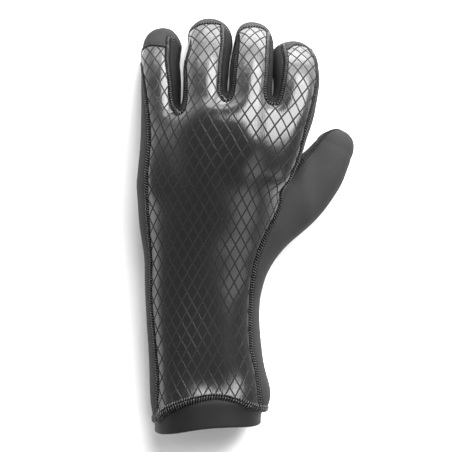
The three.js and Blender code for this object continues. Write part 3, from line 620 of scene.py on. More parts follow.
def panel_fields(points):
    """One column for each panel but the last, in the order of PANELS."""
    height, hand, (thumb, beside, above) = read_parts(points)
    slits = [field(points) for field in SLIT_FIELDS]
    columns = []
    for plan in slits:
        inside = np.maximum(np.minimum(plan, height), np.minimum(plan - UNDERSIDE_SLIT_SPREAD, -height))
        columns.append(np.minimum(-inside, points[:, 2] - FOURCHETTE_LOWEST))
    nails = np.interp(points[:, 0], NAIL_ROWS[:, 0], NAIL_ROWS[:, 1]) - points[:, 1]
    web = np.exp(-((points[:, 1] - WEB_JOIN_Y) / WEB_JOIN_REACH) ** 2) * (points[:, 0] > 0)
    join = WEB_JOIN_DROP * web
    right = right_of(points) + web * np.clip(WEB_LEAN_BELOW - height, 0, WEB_LEAN_BELOW)
    columns.append(np.min([
        left_of(points), -right, nails, height + join, points[:, 2] - BACK_LOWEST, *slits], axis=0))
    hand_weight, own_weight = (share_at(distance) + LEAST_WEIGHT for distance in (hand, thumb))
    turn = np.radians(THUMB_SEAM_TURN)
    own = above * np.cos(turn) + beside * np.sin(turn)
    strip = height + THUMB_STRIP_BELOW_MIDDLE + join
    over = (hand_weight * strip + own_weight * own) / (hand_weight + own_weight)
    columns.append(np.min([right, over, RIGHT_SEAM[-1][0] - points[:, 1]], axis=0))
    return np.stack(columns, -1)


# The sheet: four-sided faces on the glove's outside, with a panel for each face

def at_corner(values, corner):
    """A view of the values at one corner of every cell."""
    return values[tuple(slice(c, c + n - 1) for c, n in zip(corner, values.shape))]


def sampled(field, pitch):
    """A field's values at the cells' corners: its own near the surface, and coarse ones elsewhere."""
    blocks = np.ceil((NET_HIGH - NET_LOW) / (pitch * BLOCK)).astype(int)
    centres = NET_LOW + (np.indices(blocks).reshape(3, -1).T + 0.5) * pitch * BLOCK
    coarse = field(centres).reshape(blocks)
    for axis in range(3):
        coarse = coarse.repeat(BLOCK, axis)
    values = np.full(np.array(coarse.shape) + 1, FAR)
    near = np.zeros(values.shape, bool)
    for corner in CORNERS:
        at_corner(near, corner)[...] |= np.abs(coarse) < pitch * BLOCK
        at_corner(values, corner)[...] = coarse
    values[near] = field(NET_LOW + np.argwhere(near) * pitch)
    return values


def surface_net(field, pitch):
    """Points and four-sided faces of the surface where a field is zero, a point to each cell it crosses."""
    values = sampled(field, pitch)
    inside = values < 0
    cells = np.array(values.shape) - 1
    steps = np.eye(3, dtype=int)
    windows = np.stack([at_corner(inside, corner) for corner in CORNERS])
    found = np.argwhere(windows.any(0) & ~windows.all(0))
    total = np.zeros((len(found), 3))
    count = np.zeros(len(found))
    for axis, step in enumerate(steps):
        for corner in CORNERS:
            if corner[axis]:
                continue
            a = values[tuple((found + corner).T)]
            b = values[tuple((found + corner + step).T)]
            cut = (a < 0) != (b < 0)
            share = np.where(cut, a / np.where(cut, a - b, 1), 0)
            total += np.where(cut[:, None], corner + step * share[:, None], 0)
            count += cut
    points = NET_LOW + (found + total / count[:, None]) * pitch
    number = np.full(cells, -1)
    number[tuple(found.T)] = np.arange(len(found))
    faces = []
    for axis in range(3):
        step, over, up = (steps[(axis + k) % 3] for k in range(3))
        low = inside[tuple(slice(1 - s, n) for s, n in zip(step, cells))]
        high = inside[tuple(slice(1, n + s) for s, n in zip(step, cells))]
        starts = np.argwhere(low != high) + 1 - step
        outwards = inside[tuple(starts.T)]
        ring = [number[tuple((starts - shift).T)] for shift in (over + up, up, 0 * up, over)]
        ring = np.stack(ring, -1)
        faces.append(np.where(outwards[:, None], ring, ring[:, ::-1]))
    return points, np.vstack(faces)


def sides_of(faces):
    """The two ends of each side of each face."""
    return np.stack([faces, np.roll(faces, -1, axis=1)], -1).reshape(-1, 2)


def edges_of(faces):
    """Each edge of four-sided faces once, as a pair of points, with the faces beside it, or -1 for none."""
    owner = np.repeat(np.arange(len(faces)), 4)
    keys, place = np.unique(np.sort(sides_of(faces), axis=1), axis=0, return_inverse=True)
    place = place.ravel()
    order = np.argsort(place, kind="stable")
    first = np.searchsorted(place[order], np.arange(len(keys)))
    double = np.append(first[1:], len(order)) - first > 1
    beside = np.full((len(keys), 2), -1)
    beside[:, 0] = owner[order[first]]
    beside[double, 1] = owner[order[first[double] + 1]]
    return keys, beside


def spread(points, edges, held, share=SPREAD_SHARE):
    """Moves each point that isn't held towards the middle of its neighbours."""
    ends = edges.ravel()
    others = points[edges[:, ::-1].ravel()]
    count = np.maximum(np.bincount(ends, minlength=len(points)), 1)
    middle = np.stack([np.bincount(ends, others[:, k], len(points)) for k in range(3)], -1) / count[:, None]
    return np.where(held[:, None], points, points + (middle - points) * share)


def without_spurs(labels, beside):
    """Gives faces that hardly touch their own panel to the panel that most surrounds them."""
    pairs = beside[beside[:, 1] >= 0]
    for _ in range(SPUR_ROUNDS):
        around = np.zeros((len(labels), len(PANELS)), int)
        for here, there in ((0, 1), (1, 0)):
            np.add.at(around, (pairs[:, here], labels[pairs[:, there]]), 1)
        own = around[np.arange(len(labels)), labels]
        labels = np.where(own < 2, around.argmax(1), labels)
    return labels


def snap(points, rows, field, reach):
    """Moves some points along the surface onto the line where a field is zero."""
    p = points[rows]
    slope = slope_of(field, p)
    normal = unit(slope_of(glove_distance, p))
    slope -= normal * dot(slope, normal)[:, None]
    step = -slope * (field(p) / np.maximum(dot(slope, slope), SNAP_STEEPNESS))[:, None]
    far = np.linalg.norm(step, axis=1, keepdims=True)
    points[rows] = settle(p + step * np.minimum(1, reach / np.maximum(far, TINY)), 1)


def runs_of(edges):
    """Joins edges end to end into runs, each stopping where other than two edges meet."""
    beside = {}
    for a, b in edges.tolist():
        beside.setdefault(a, []).append(b)
        beside.setdefault(b, []).append(a)
    left = {frozenset(edge) for edge in edges.tolist()}
    runs = []
    for start in sorted(beside, key=lambda i: (len(beside[i]) == 2, i)):
        for following in beside[start]:
            run = [start, following]
            if frozenset(run) not in left:
                continue
            left.discard(frozenset(run))
            while len(beside[run[-1]]) == 2:
                onward = [i for i in beside[run[-1]] if frozenset((run[-1], i)) in left]
                if not onward:
                    break
                left.discard(frozenset((run[-1], onward[0])))
                run.append(onward[0])
            runs.append(run)
    return runs


def evened(line):
    """A line of points with even spacing, smoothed."""
    closed = np.allclose(line[0], line[-1])
    for _ in range(SEAM_ROUNDS):
        steps = np.linalg.norm(np.diff(line, axis=0), axis=1)
        along = np.append(0, np.cumsum(steps))
        places = np.linspace(0, along[-1], max(int(round(along[-1] / SEAM_SPACING)), 2) + 1)
        line = np.stack([np.interp(places, along, line[:, k]) for k in range(3)], -1)
        if closed:
            ring = line[:-1]
            ring = (np.roll(ring, 1, axis=0) + 2 * ring + np.roll(ring, -1, axis=0)) / 4
            line = np.vstack([ring, ring[:1]])
        else:
            line[1:-1] = (line[:-2] + 2 * line[1:-1] + line[2:]) / 4
    return line


def softness_at(points):
    """1 where the cloth is smoothed over the knuckles, fading to 0 around them."""
    x, y, z = points.T
    rise = np.clip((y - SOFT_FROM) / SOFT_FADE, 0, 1)
    fall = np.clip((SOFT_TO - y) / SOFT_FADE, 0, 1)
    spare_x, spare_y, reach = SOFT_SPARES
    spared = np.exp(-((x - spare_x) ** 2 + (y - spare_y) ** 2) / reach**2)
    return rise * fall * np.clip((z - SOFT_LOWEST) / SOFT_FADE, 0, 1) * (1 - spared)


def draped(points):
    """Lets the cloth bulge and shift where the table says."""
    points = points.copy()
    height, _, (thumb, _, above) = read_parts(points)
    highest = np.maximum(height, above - THUMB_FADE * np.maximum(thumb, 0))
    top = np.clip(0.5 + highest / DRAPE_FADE, 0, 1)
    for x, y, reach, dx, dy, dz in DRAPE:
        near = np.exp(-((points[:, 0] - x) ** 2 + (points[:, 1] - y) ** 2) / reach**2)
        points[:, :2] += near[:, None] * (dx, dy)
        points[:, 2] += near * (top * dz)
    return points


def normals_of(points, faces):
    """Each point's normal, from the faces round it."""
    a, b, c, d = (points[faces[:, k]] for k in range(4))
    across = np.cross(c - a, d - b)
    total = [np.bincount(faces.ravel(), across[:, k].repeat(4), len(points)) for k in range(3)]
    return unit(np.stack(total, -1))


def tree_of(points):
    tree = KDTree(len(points))
    for i, point in enumerate(points):
        tree.insert(point, i)
    tree.balance()
    return tree


def netted(pitch):
    """The glove's outside as far as the hem: points, faces, edges, the faces beside them, and the rim."""
    points, faces = surface_net(glove_distance, pitch)
    points = settle(points)
    faces = faces[hem_field(points[faces].mean(1)) > 0]
    edges, beside = edges_of(faces)
    rim = np.zeros(len(points), bool)
    rim[edges[beside[:, 1] < 0]] = True
    for _ in range(SNAP_ROUNDS):
        snap(points, rim, hem_field, pitch / 2)
    return points_evened(points, edges, rim, SPREAD_ROUNDS), faces, edges, beside, rim


def points_evened(points, edges, held, rounds):
    """Spreads the points that aren't held evenly over the glove's outside."""
    for _ in range(rounds):
        points = spread(points, edges, held)
    points[~held] = settle(points[~held])
    return points


def cut_to_panels(points, faces, beside, pitch):
    """Gives each face its panel and moves the points between panels onto the seams, which it also tells."""
    fields = panel_fields(points[faces].mean(1))
    labels = np.where((fields > 0).any(1), (fields > 0).argmax(1), len(PANELS) - 1)
    labels = without_spurs(labels, beside)
    meets = np.zeros((len(points), len(PANELS)), bool)
    meets[faces.ravel(), labels.repeat(4)] = True
    for _ in range(SNAP_ROUNDS):
        for label in range(len(PANELS) - 1):
            rows = meets[:, label] & meets[:, label + 1:].any(1)
            snap(points, rows, lambda p: panel_fields(p)[:, label], pitch / 2)
    return labels, meets.sum(1) > 1


def at_tip(line):
    return line[:, 1].mean() > TIP_SEAMS_FROM


def cut_at(line, y):
    """The stretches of a line on either side of a place along the glove."""
    return np.split(line, np.flatnonzero(np.diff(line[:, 1] > y)) + 1)


def seam_lines(points, edges, sides):
    """The lines between panels by the panels' two numbers, with -1 beyond the hem and TIPS at the tips."""
    seams = {}
    for low, high in sorted(set(map(tuple, sides.tolist()))):
        if low == high:
            continue
        runs = runs_of(edges[(sides == (low, high)).all(1)])
        lines = [evened(points[run]) for run in runs if len(run) > SHORTEST_SEAM]
        if low == BACK:
            lines = [part for line in lines for part in cut_at(line, TIP_SEAMS_FROM)]
            seams.setdefault((low, TIPS), []).extend(line for line in lines if at_tip(line))
            lines = [line for line in lines if not at_tip(line)]
        seams[low, high] = lines
    return seams


def away_from(seams, points, wanted):
    """Each point's distance to the nearest of the wanted seams."""
    tree = tree_of(np.vstack([line for key, lines in seams.items() if wanted(*key) for line in lines]))
    return np.array([tree.find(point)[2] for point in points])


@functools.cache
def glove_sheet(pitch):
    """The whole outside with its panels, its seams as lines, and each point's distances to them."""
    points, faces, edges, beside, rim = netted(pitch)
    labels, on_seam = cut_to_panels(points, faces, beside, pitch)
    points = points_evened(points, edges, rim | on_seam, SPREAD_ROUNDS // 2)
    grain = grain_at(points)
    points = draped(points)
    for _ in range(SOFTEN_ROUNDS):
        points = spread(points, edges, rim, SPREAD_SHARE * softness_at(points)[:, None])
    normals = normals_of(points, faces)
    for _ in range(SPREAD_ROUNDS):
        normals = unit(spread(normals, edges, np.zeros(len(points), bool)))
    sides = np.sort(np.where(beside < 0, -1, labels[beside]), axis=1)
    seams = seam_lines(points, edges, sides)
    hem = away_from(seams, points, lambda low, high: low < 0)
    tips = away_from(seams, points, lambda low, high: high == TIPS)
    others = away_from(seams, points, lambda low, high: low >= 0 and high != TIPS)
    marked = np.min([others, tips * TIP_DULLING_AND_SHADE, hem * HEM_DULLING_AND_SHADE], axis=0)
    return Sheet(points, faces, labels, normals, grain, seams, np.minimum(tips, others), hem, marked)


def sheet_now():
    return glove_sheet(bpy.context.scene.glove_sheet.pitch / MM)


@functools.cache
def sheet_tree():
    return tree_of(sheet_now().points)


def near_on_sheet(line):
    """The numbers of the sheet's points nearest each point of a line."""
    return np.array([[i for _, i, _ in sheet_tree().find_n(point, NEAREST)] for point in line])


def relief_at(away, hem=FAR):
    """How far the cloth stands out: drawn in by the thread at a seam, and flared at the hem."""
    cloth = bpy.context.scene.glove_sheet
    groove = (1 - np.clip(away * MM / cloth.groove_width, 0, 1) ** 2) ** 2
    flare = np.clip(1 - hem * MM / cloth.flare_reach, 0, 1) ** 2
    return (flare * cloth.flare - groove * cloth.groove_depth) / MM


# Blender pieces

def in_part(points):
    """Millimetres in the drawing's frame to metres in the part's."""
    return (points - OUTLINE_MIDDLE) * MM


def new_piece(name, points, faces, edges=()):
    mesh = bpy.data.meshes.new(name)
    mesh.from_pydata(points.tolist(), [list(edge) for edge in edges], [list(face) for face in faces])
    piece = bpy.data.objects.new(name, mesh)
    bpy.context.scene.collection.objects.link(piece)
    return piece


def finish_piece(piece, slot, *nodes):
    """Gives a finished piece to the glove's one body, in place of its solids."""
    for polygon in piece.data.polygons:
        polygon.use_smooth = True
    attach(piece, "root")
    if nodes:
        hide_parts(*nodes)


def integrated(edges, rises, count):
    """The values at the points whose differences along the edges best match the rises."""
    start, end = edges.T
    value = np.zeros(count)
    rest = np.bincount(end, rises, count) - np.bincount(start, rises, count)
    way = rest
    power = goal = rest @ rest
    for _ in range(FLAT_TRIES):
        rise = way[end] - way[start]
        pull = np.bincount(end, rise, count) - np.bincount(start, rise, count)
        step = power / (way @ pull)
        value = value + step * way
        rest = rest - step * pull
        left = rest @ rest
        if left < goal * FLAT_FIT:
            break
        way = rest + way * left / power
        power = left
    return value


def laid_flat(points, normals, grain, edges):
    """Each point's place on the panel laid flat, in millimetres: across the grain and along it."""
    along = unit(grain - normals * dot(normals, grain)[:, None])
    across = np.cross(along, normals)
    start, end = edges.T
    run = points[end] - points[start]
    anchor = np.abs(points - FLAT_ANCHOR).sum(1).argmin()
    flat = []
    for axis, at in zip((across, along), points[anchor]):
        value = integrated(edges, dot(axis[start] + axis[end], run) / 2, len(points))
        flat.append(value - value[anchor] + at)
    return np.stack(flat, -1)


def cut_edge(faces, open_edges, count):
    """Faces from the open edges of the outside to those of the inside, whose points come count later."""
    turned = set(map(tuple, sides_of(faces).tolist()))
    ends = [(b, a) if (a, b) in turned else (a, b) for a, b in open_edges.tolist()]
    return np.array([(a, b, b + count, a + count) for a, b in ends])


def panel_piece(name, panel, finish, slot):
    """One panel: its outside, its inside and the cut edge between them."""
    cloth = bpy.context.scene.glove_sheet
    sheet = sheet_now()
    faces = sheet.faces[sheet.labels == PANELS.index(panel)]
    if not len(faces):
        raise RuntimeError(f"No face of the sheet belongs to {panel}")
    used, faces = np.unique(faces, return_inverse=True)
    faces = faces.reshape(-1, 4)
    points, normals, grain, away, hem, marked = (
        getattr(sheet, field)[used] for field in ("points", "normals", "grain", "away", "hem", "marked"))
    edges, beside = edges_of(faces)
    open_edges = edges[beside[:, 1] < 0]
    border = np.zeros(len(used), bool)
    border[open_edges] = True
    flat = laid_flat(points, normals, grain, edges)
    inwards = unit(spread(points, edges, ~border) - points)
    points = points + inwards * (border[:, None] * cloth.seam_gap / MM / 2)
    raised = relief_at(away, hem)
    if panel in FOURCHETTES:
        raised = raised + cloth.fourchette_puff / MM * np.clip(away * MM / cloth.puff_reach, 0, 1)
    outer = points + normals * raised[:, None]
    inner = points - normals * cloth.wall / MM
    outer[:, 2] = np.maximum(outer[:, 2], 0)
    inner[:, 2] = np.maximum(inner[:, 2], cloth.wall / MM)
    everything = np.vstack([faces, faces[:, ::-1] + len(used), cut_edge(faces, open_edges, len(used))])
    piece = new_piece(name, in_part(np.vstack([outer, inner])), everything.tolist())
    for material in (finish, jersey("lining")):
        piece.data.materials.append(material)
    piece.data.polygons.foreach_set("material_index", (np.arange(len(everything)) >= len(faces)).astype(int))
    layer = piece.data.uv_layers.new(name="flat")
    layer.uv.foreach_set("vector", (np.vstack([flat, flat])[everything.ravel()] * MM).ravel())
    seam = piece.data.attributes.new("seam", "FLOAT", "POINT")
    seam.data.foreach_set("value", np.tile(marked * MM, 2))
    finish_piece(piece, slot, panel)
    piece.data.set_sharp_from_angle(angle=SHARP_TURN)
    return piece


# Nodes

def add(tree, kind, *values, **settings):
    """Adds a node with its settings. Its inputs come in order, or in a dict, as values or as links."""
    node = tree.nodes.new(kind)
    for name, value in settings.items():
        setattr(node, name, value)
    named = values and isinstance(values[0], dict)
    for key, value in (values[0] if named else dict(enumerate(values))).items():
        if isinstance(value, bpy.types.Node):
            value = value.outputs[0]
        if isinstance(value, bpy.types.NodeSocket):
            tree.links.new(value, node.inputs[key])
        else:
            node.inputs[key].default_value = value
    return node


def new_material(name):
    """An empty node material, with its tree."""
    material = bpy.data.materials.new(name)
    material.use_nodes = True
    material.node_tree.nodes.clear()
    return material, material.node_tree


def finished(tree, base, height, roughness, relief, **constants):
    """Ends a material in one shader. Its base colour, height and roughness may be links."""
    normal = add(tree, "ShaderNodeBump", {"Height": height, "Distance": relief, "Strength": 1.0})
    inputs = {"Base Color": base, "Roughness": roughness, "Normal": normal, "Coat Normal": normal}
    inputs.update({key.replace("_", " "): value for key, value in constants.items()})
    shader = add(tree, "ShaderNodeBsdfPrincipled", inputs)
    add(tree, "ShaderNodeOutputMaterial", {"Surface": shader})


def shade(values, factor=1.0):
    return (*(v * factor for v in values), 1.0)


def two_shades(tree, share, values, darker, lighter):
    """One colour, from a darker shade where the share is 0 to a lighter one where it is 1."""
    shades = {MIX_FIRST: shade(values, darker), MIX_SECOND: shade(values, lighter)}
    return add(tree, "ShaderNodeMix", {0: share, **shades}, data_type="RGBA").outputs[MIX_RESULT]


def ranged(tree, value, low, high, least=0.0, most=1.0):
    """Goes from a least to a most as a value goes from low to high, and no further."""
    return add(tree, "ShaderNodeMapRange", value, low, high, least, most)


def noise(tree, count, detail):
    """Soft noise from 0 to 1, with about so many grains or clouds to a millimetre."""
    place = add(tree, "ShaderNodeTexCoord").outputs["Object"]
    return add(tree, "ShaderNodeTexNoise", {"Vector": place, "Scale": count / MM, "Detail": detail})


def knit_height(tree, flat):
    """Columns of small loops along the cloth, from -1 to 1, on the panel laid flat."""
    spot = add(tree, "ShaderNodeSeparateXYZ", flat)
    waves = 2 * np.pi / (KNIT_PITCH * MM)
    across = add(tree, "ShaderNodeMath", spot.outputs[0], waves, operation="MULTIPLY")
    along = add(tree, "ShaderNodeMath", spot.outputs[1], waves / KNIT_LOOP, operation="MULTIPLY")
    wave = add(tree, "ShaderNodeMath", across, operation="SINE")
    lean = add(tree, "ShaderNodeMath", wave, KNIT_LEAN, operation="MULTIPLY")
    leaning = add(tree, "ShaderNodeMath", along, lean, operation="ADD")
    loops = add(tree, "ShaderNodeMath", leaning, operation="SINE")
    loops = add(tree, "ShaderNodeMath", loops, 1 - KNIT_COLUMNS, operation="MULTIPLY")
    columns = add(tree, "ShaderNodeMath", across, operation="COSINE")
    return add(tree, "ShaderNodeMath", columns, KNIT_COLUMNS, loops, operation="MULTIPLY_ADD")


def clear_of_seam_dulling_and_shade(tree, least):
    """1 on open cloth, falling to a least value along a seam, where the film's gloss is taken away and
    painted shade darkens the colour.
    """
    seam = add(tree, "ShaderNodeAttribute", attribute_name="seam").outputs["Fac"]
    low, high = (edge * MM for edge in DULLING_AND_SHADE_EDGE)
    return ranged(tree, seam, low, high, least)


# Painted shade: darkens a colour along the seams, as if shaded in their grooves, and wholly where a piece has
# no seam attribute
def painted_seam_shade(tree, base):
    clear = clear_of_seam_dulling_and_shade(tree, PAINTED_SEAM_SHADE)
    return add(tree, "ShaderNodeVectorMath", {0: base, "Scale": clear}, operation="SCALE")


def film_cells(tree, flat):
    """1 on the film's diamonds and 0 on the net lines between them, on the panel laid flat."""
    net = bpy.context.scene.glove_net
    spot = add(tree, "ShaderNodeSeparateXYZ", flat)
    u = add(tree, "ShaderNodeMath", spot.outputs[0], net.cell_width, operation="DIVIDE")
    v = add(tree, "ShaderNodeMath", spot.outputs[1], net.cell_height, operation="DIVIDE")
    slants = [add(tree, "ShaderNodeMath", u, v, operation=operation) for operation in ("ADD", "SUBTRACT")]
    folded = [add(tree, "ShaderNodeMath", slant, 0.5, operation="PINGPONG") for slant in slants]
    nearer = add(tree, "ShaderNodeMath", *folded, operation="MINIMUM")
    span = net.cell_width * net.cell_height / np.hypot(net.cell_width, net.cell_height)
    away = add(tree, "ShaderNodeMath", nearer, span, operation="MULTIPLY")
    low, high = (edge * net.line_width / 2 for edge in LINE_EDGE)
    return add(tree, "ShaderNodeMapRange", away, low, high, 0.0, 1.0, interpolation_type="SMOOTHSTEP")


@functools.cache
def coated_skin():
    """Jersey-backed neoprene with a printed rubber film: glossy diamonds between dull net lines."""
    colours = bpy.context.scene.glove_colours
    material, tree = new_material("film_printed_neoprene")
    flat = add(tree, "ShaderNodeUVMap", uv_map="flat")
    film = film_cells(tree, flat)
    cloud = noise(tree, FILM_CLOUDS, detail=3.0)
    worn = ranged(tree, cloud, low=0.3, high=0.7, least=0.85)
    gloss = add(tree, "ShaderNodeMath", film, clear_of_seam_dulling_and_shade(tree, 0.0), operation="MULTIPLY")
    coat = add(tree, "ShaderNodeMath", gloss, worn, operation="MULTIPLY")
    knit = knit_height(tree, flat)
    height = add(tree, "ShaderNodeMath", knit, FILM_KNIT, film, operation="MULTIPLY_ADD")
    shades = {0: film, MIX_FIRST: shade(colours.net), MIX_SECOND: shade(colours.skin)}
    cells = add(tree, "ShaderNodeMix", shades, data_type="RGBA").outputs[MIX_RESULT]
    # Painted shade darkens the cells' and lines' colour along the seams
    finished(tree, painted_seam_shade(tree, cells), height, roughness=0.8, relief=0.05 * MM,
             Specular_IOR_Level=0.05, Coat_Weight=coat, Coat_Roughness=0.19, Coat_IOR=1.55)
    return material


@functools.cache
def jersey(which):
    """Nylon jersey on neoprene: dull, with fine loops that catch a little light at the edges."""
    material, tree = new_material(f"nylon_jersey_{which}")
    flat = add(tree, "ShaderNodeUVMap", uv_map="flat")
    grain = noise(tree, JERSEY_GRAINS, detail=2.0)
    cloud = noise(tree, JERSEY_CLOUDS, detail=3.0)
    cloud_half = add(tree, "ShaderNodeMath", cloud, 0.5, operation="MULTIPLY")
    light = add(tree, "ShaderNodeMath", grain, 0.5, cloud_half, operation="MULTIPLY_ADD")
    share = ranged(tree, light, low=0.35, high=0.65)
    base = getattr(bpy.context.scene.glove_colours, which)
    yarn = two_shades(tree, share, base, darker=0.8, lighter=1.2)
    knit = knit_height(tree, flat)
    height = add(tree, "ShaderNodeMath", knit, JERSEY_KNIT, grain, operation="MULTIPLY_ADD")
    # Painted shade darkens the jersey's colour along the seams
    finished(tree, painted_seam_shade(tree, yarn), height, roughness=0.8, relief=0.08 * MM,
             Specular_IOR_Level=JERSEY_SHINE[which])
    return material


@functools.cache
def smooth_rubber():
    """Smooth-skin neoprene: an even closed skin with a soft satin shine."""
    material, tree = new_material("smooth_skin_neoprene")
    grain = noise(tree, RUBBER_GRAINS, detail=2.0)
    cloud = noise(tree, RUBBER_CLOUDS, detail=3.0)
    rubber = two_shades(tree, cloud, bpy.context.scene.glove_colours.band, darker=0.85, lighter=1.15)
    roughness = ranged(tree, cloud, low=0.3, high=0.7, least=0.5, most=0.62)
    finished(tree, rubber, grain, roughness, relief=0.03 * MM, Specular_IOR_Level=0.18)
    return material


@functools.cache
def polyester_thread():
    """Twisted polyester thread: a soft shine, and painted highlights in specks, drawn about a stitch wide so
    that they show.
    """
    material, tree = new_material("polyester_thread")
    grain = noise(tree, THREAD_GRAINS, detail=1.0)
    glints = noise(tree, THREAD_GLINTS, detail=0.0)
    share = ranged(tree, glints, low=0.52, high=0.66)
    # Painted highlights: the specks are the thread's colour made seven times lighter
    fibres_and_glints = two_shades(tree, share, bpy.context.scene.glove_colours.thread, darker=0.7, lighter=7.0)
    finished(tree, fibres_and_glints, grain, roughness=0.28, relief=0.05 * MM, IOR=1.6)
    return material


def white_paper():
    """Uncoated paper: matt and white, with a faint grain and no shine."""
    material, tree = new_material("white_paper")
    grain = noise(tree, PAPER_GRAINS, detail=3.0)
    fibres_and_glints = two_shades(tree, grain, bpy.context.scene.glove_colours.floor, darker=0.98, lighter=1.0)
    finished(tree, fibres_and_glints, grain, roughness=0.9, relief=0.05 * MM)
    return material


# Stitches

@functools.cache
def seam_tree():
    """A bead along each line with slanting stitches over it, standing up along the lines' attribute."""
    tree = bpy.data.node_groups.new("sewn_seam", "GeometryNodeTree")
    inputs = (
        ("Geometry", "NodeSocketGeometry"), ("Pitch", "NodeSocketFloat"), ("Width", "NodeSocketFloat"),
        ("Thread", "NodeSocketFloat"), ("Bead", "NodeSocketFloat"), ("Rise", "NodeSocketFloat"),
        ("Seed", "NodeSocketInt"), ("Thread Material", "NodeSocketMaterial"),
        ("Bead Material", "NodeSocketMaterial"),
    )
    for name, kind in inputs:
        tree.interface.new_socket(name=name, in_out="INPUT", socket_type=kind)
    tree.interface.new_socket(name="Geometry", in_out="OUTPUT", socket_type="NodeSocketGeometry")
    given = add(tree, "NodeGroupInput").outputs
    line = add(tree, "GeometryNodeMeshToCurve", {"Mesh": given["Geometry"]})

    half_width, half_pitch = (
        add(tree, "ShaderNodeMath", given[name], 0.5, operation="MULTIPLY") for name in ("Width", "Pitch"))
    minus_width, minus_pitch, minus_thread = (
        add(tree, "ShaderNodeMath", value, -1.0, operation="MULTIPLY")
        for value in (half_width, half_pitch, given["Thread"]))
    minus_quarter = add(tree, "ShaderNodeMath", minus_pitch, 0.5, operation="MULTIPLY")
    over = add(tree, "ShaderNodeMath", given["Rise"], 2.0, operation="MULTIPLY")
    start = add(tree, "ShaderNodeCombineXYZ", minus_pitch, minus_width, minus_thread)
    top = add(tree, "ShaderNodeCombineXYZ", minus_quarter, 0.0, over)
    end = add(tree, "ShaderNodeCombineXYZ", 0.0, half_width, minus_thread)
    bar = add(tree, "GeometryNodeCurveQuadraticBezier", {
        "Resolution": STITCH_STEPS, "Start": start, "Middle": top, "End": end})
    round_thread = add(tree, "GeometryNodeCurvePrimitiveCircle", {
        "Resolution": THREAD_SIDES, "Radius": given["Thread"]})
    stitch = add(tree, "GeometryNodeCurveToMesh", {
        "Curve": bar, "Profile Curve": round_thread, "Fill Caps": True})

    points = add(tree, "GeometryNodeResampleCurve", {"Curve": line, "Length": given["Pitch"]}, mode="LENGTH")
    up = add(tree, "GeometryNodeInputNamedAttribute", {"Name": "up"}, data_type="FLOAT_VECTOR")
    ahead = add(tree, "GeometryNodeInputTangent")
    turn = add(tree, "FunctionNodeAxesToRotation", {"Primary Axis": up, "Secondary Axis": ahead},
               primary_axis="Z", secondary_axis="X")
    size = add(tree, "FunctionNodeRandomValue", {
        "Min": STITCH_LEAST, "Max": STITCH_MOST, "Seed": given["Seed"]}, data_type="FLOAT_VECTOR")
    stitches = add(tree, "GeometryNodeInstanceOnPoints", {
        "Points": points, "Instance": stitch, "Rotation": turn, "Scale": size})
    threads = add(tree, "GeometryNodeSetMaterial", {
        "Geometry": add(tree, "GeometryNodeRealizeInstances", {"Geometry": stitches}),
        "Material": given["Thread Material"]})

    round_bead = add(tree, "GeometryNodeCurvePrimitiveCircle", {
        "Resolution": BEAD_SIDES, "Radius": given["Bead"]})
    rope = add(tree, "GeometryNodeCurveToMesh", {
        "Curve": line, "Profile Curve": round_bead, "Fill Caps": True})
    bead = add(tree, "GeometryNodeSetMaterial", {"Geometry": rope, "Material": given["Bead Material"]})
    everything = add(tree, "GeometryNodeJoinGeometry")
    for part in (threads, bead):
        tree.links.new(part.outputs[0], everything.inputs[0])
    add(tree, "NodeGroupOutput", {"Geometry": everything})
    return tree


def moved_in(line, distance):
    """The line moved along the sheet, away from the hem."""
    away = slope_of(hem_field, line)
    normals = unit(slope_of(glove_distance, line))
    line = line + unit(away - normals * dot(away, normals)[:, None]) * distance
    return evened(sheet_now().points[near_on_sheet(line)].mean(1))


def seam_values(**changes):
    """The seam tree's sizes for an ordinary seam, with some of them changed."""
    stitches = bpy.context.scene.glove_stitches
    return {
        "Pitch": stitches.pitch, "Width": stitches.width, "Thread": stitches.thread, "Bead": stitches.bead,
        "Rise": stitches.bead, "Seed": stitches.seed, **changes}


def sew(name, lines, lift, values):
    """Runs the seam tree over lines on the sheet, lifted off it, and keeps the result as a plain mesh."""
    if not lines:
        raise RuntimeError(f"No line was found for {name}")
    points, ups, edges = [], [], []
    for line in lines:
        normals = unit(sheet_now().normals[near_on_sheet(line)].mean(1))
        start = sum(map(len, points))
        closed = np.allclose(line[0], line[-1])
        count = len(line) - closed
        points.append(in_part((line + normals * lift)[:count]))
        ups.append(normals[:count])
        edges += [(start + i, start + (i + 1) % count) for i in range(len(line) - 1)]
    points = np.vstack(points)
    points[:, 2] = np.maximum(points[:, 2], values["Rise"] + values["Thread"] * 2)
    piece = new_piece(name, points, [], edges)
    attribute = piece.data.attributes.new("up", "FLOAT_VECTOR", "POINT")
    attribute.data.foreach_set("vector", np.vstack(ups).ravel())
    modifier = piece.modifiers.new("sewing", "NODES")
    modifier.node_group = seam_tree()
    # The beads carry no seam attribute, so the painted seam shade darkens their jersey fully
    values = {**values, "Thread Material": polyester_thread(), "Bead Material": jersey("fourchette")}
    for item in modifier.node_group.interface.items_tree:
        if item.in_out == "INPUT" and item.name in values:
            modifier[item.identifier] = values[item.name]
    made = bpy.data.meshes.new_from_object(piece.evaluated_get(bpy.context.evaluated_depsgraph_get()))
    piece.modifiers.clear()
    piece.data = made
    finish_piece(piece, "fourchette_jersey")
    return piece


# The studio

def lay_floor():
    corners = [(x * FLOOR_HALF, y * FLOOR_HALF, 0) for x, y in ((-1, -1), (1, -1), (1, 1), (-1, 1))]
    floor = new_piece("floor", np.array(corners), [(0, 1, 2, 3)])
    floor.data.materials.append(white_paper())


def place_lamp(light, place, towards):
    """Sets a lamp at a place, with its back to a direction."""
    lamp = bpy.data.objects.new(light.name, light)
    lamp.location = place
    lamp.rotation_euler = towards.to_track_quat("Z", "Y").to_euler()
    bpy.context.scene.collection.objects.link(lamp)


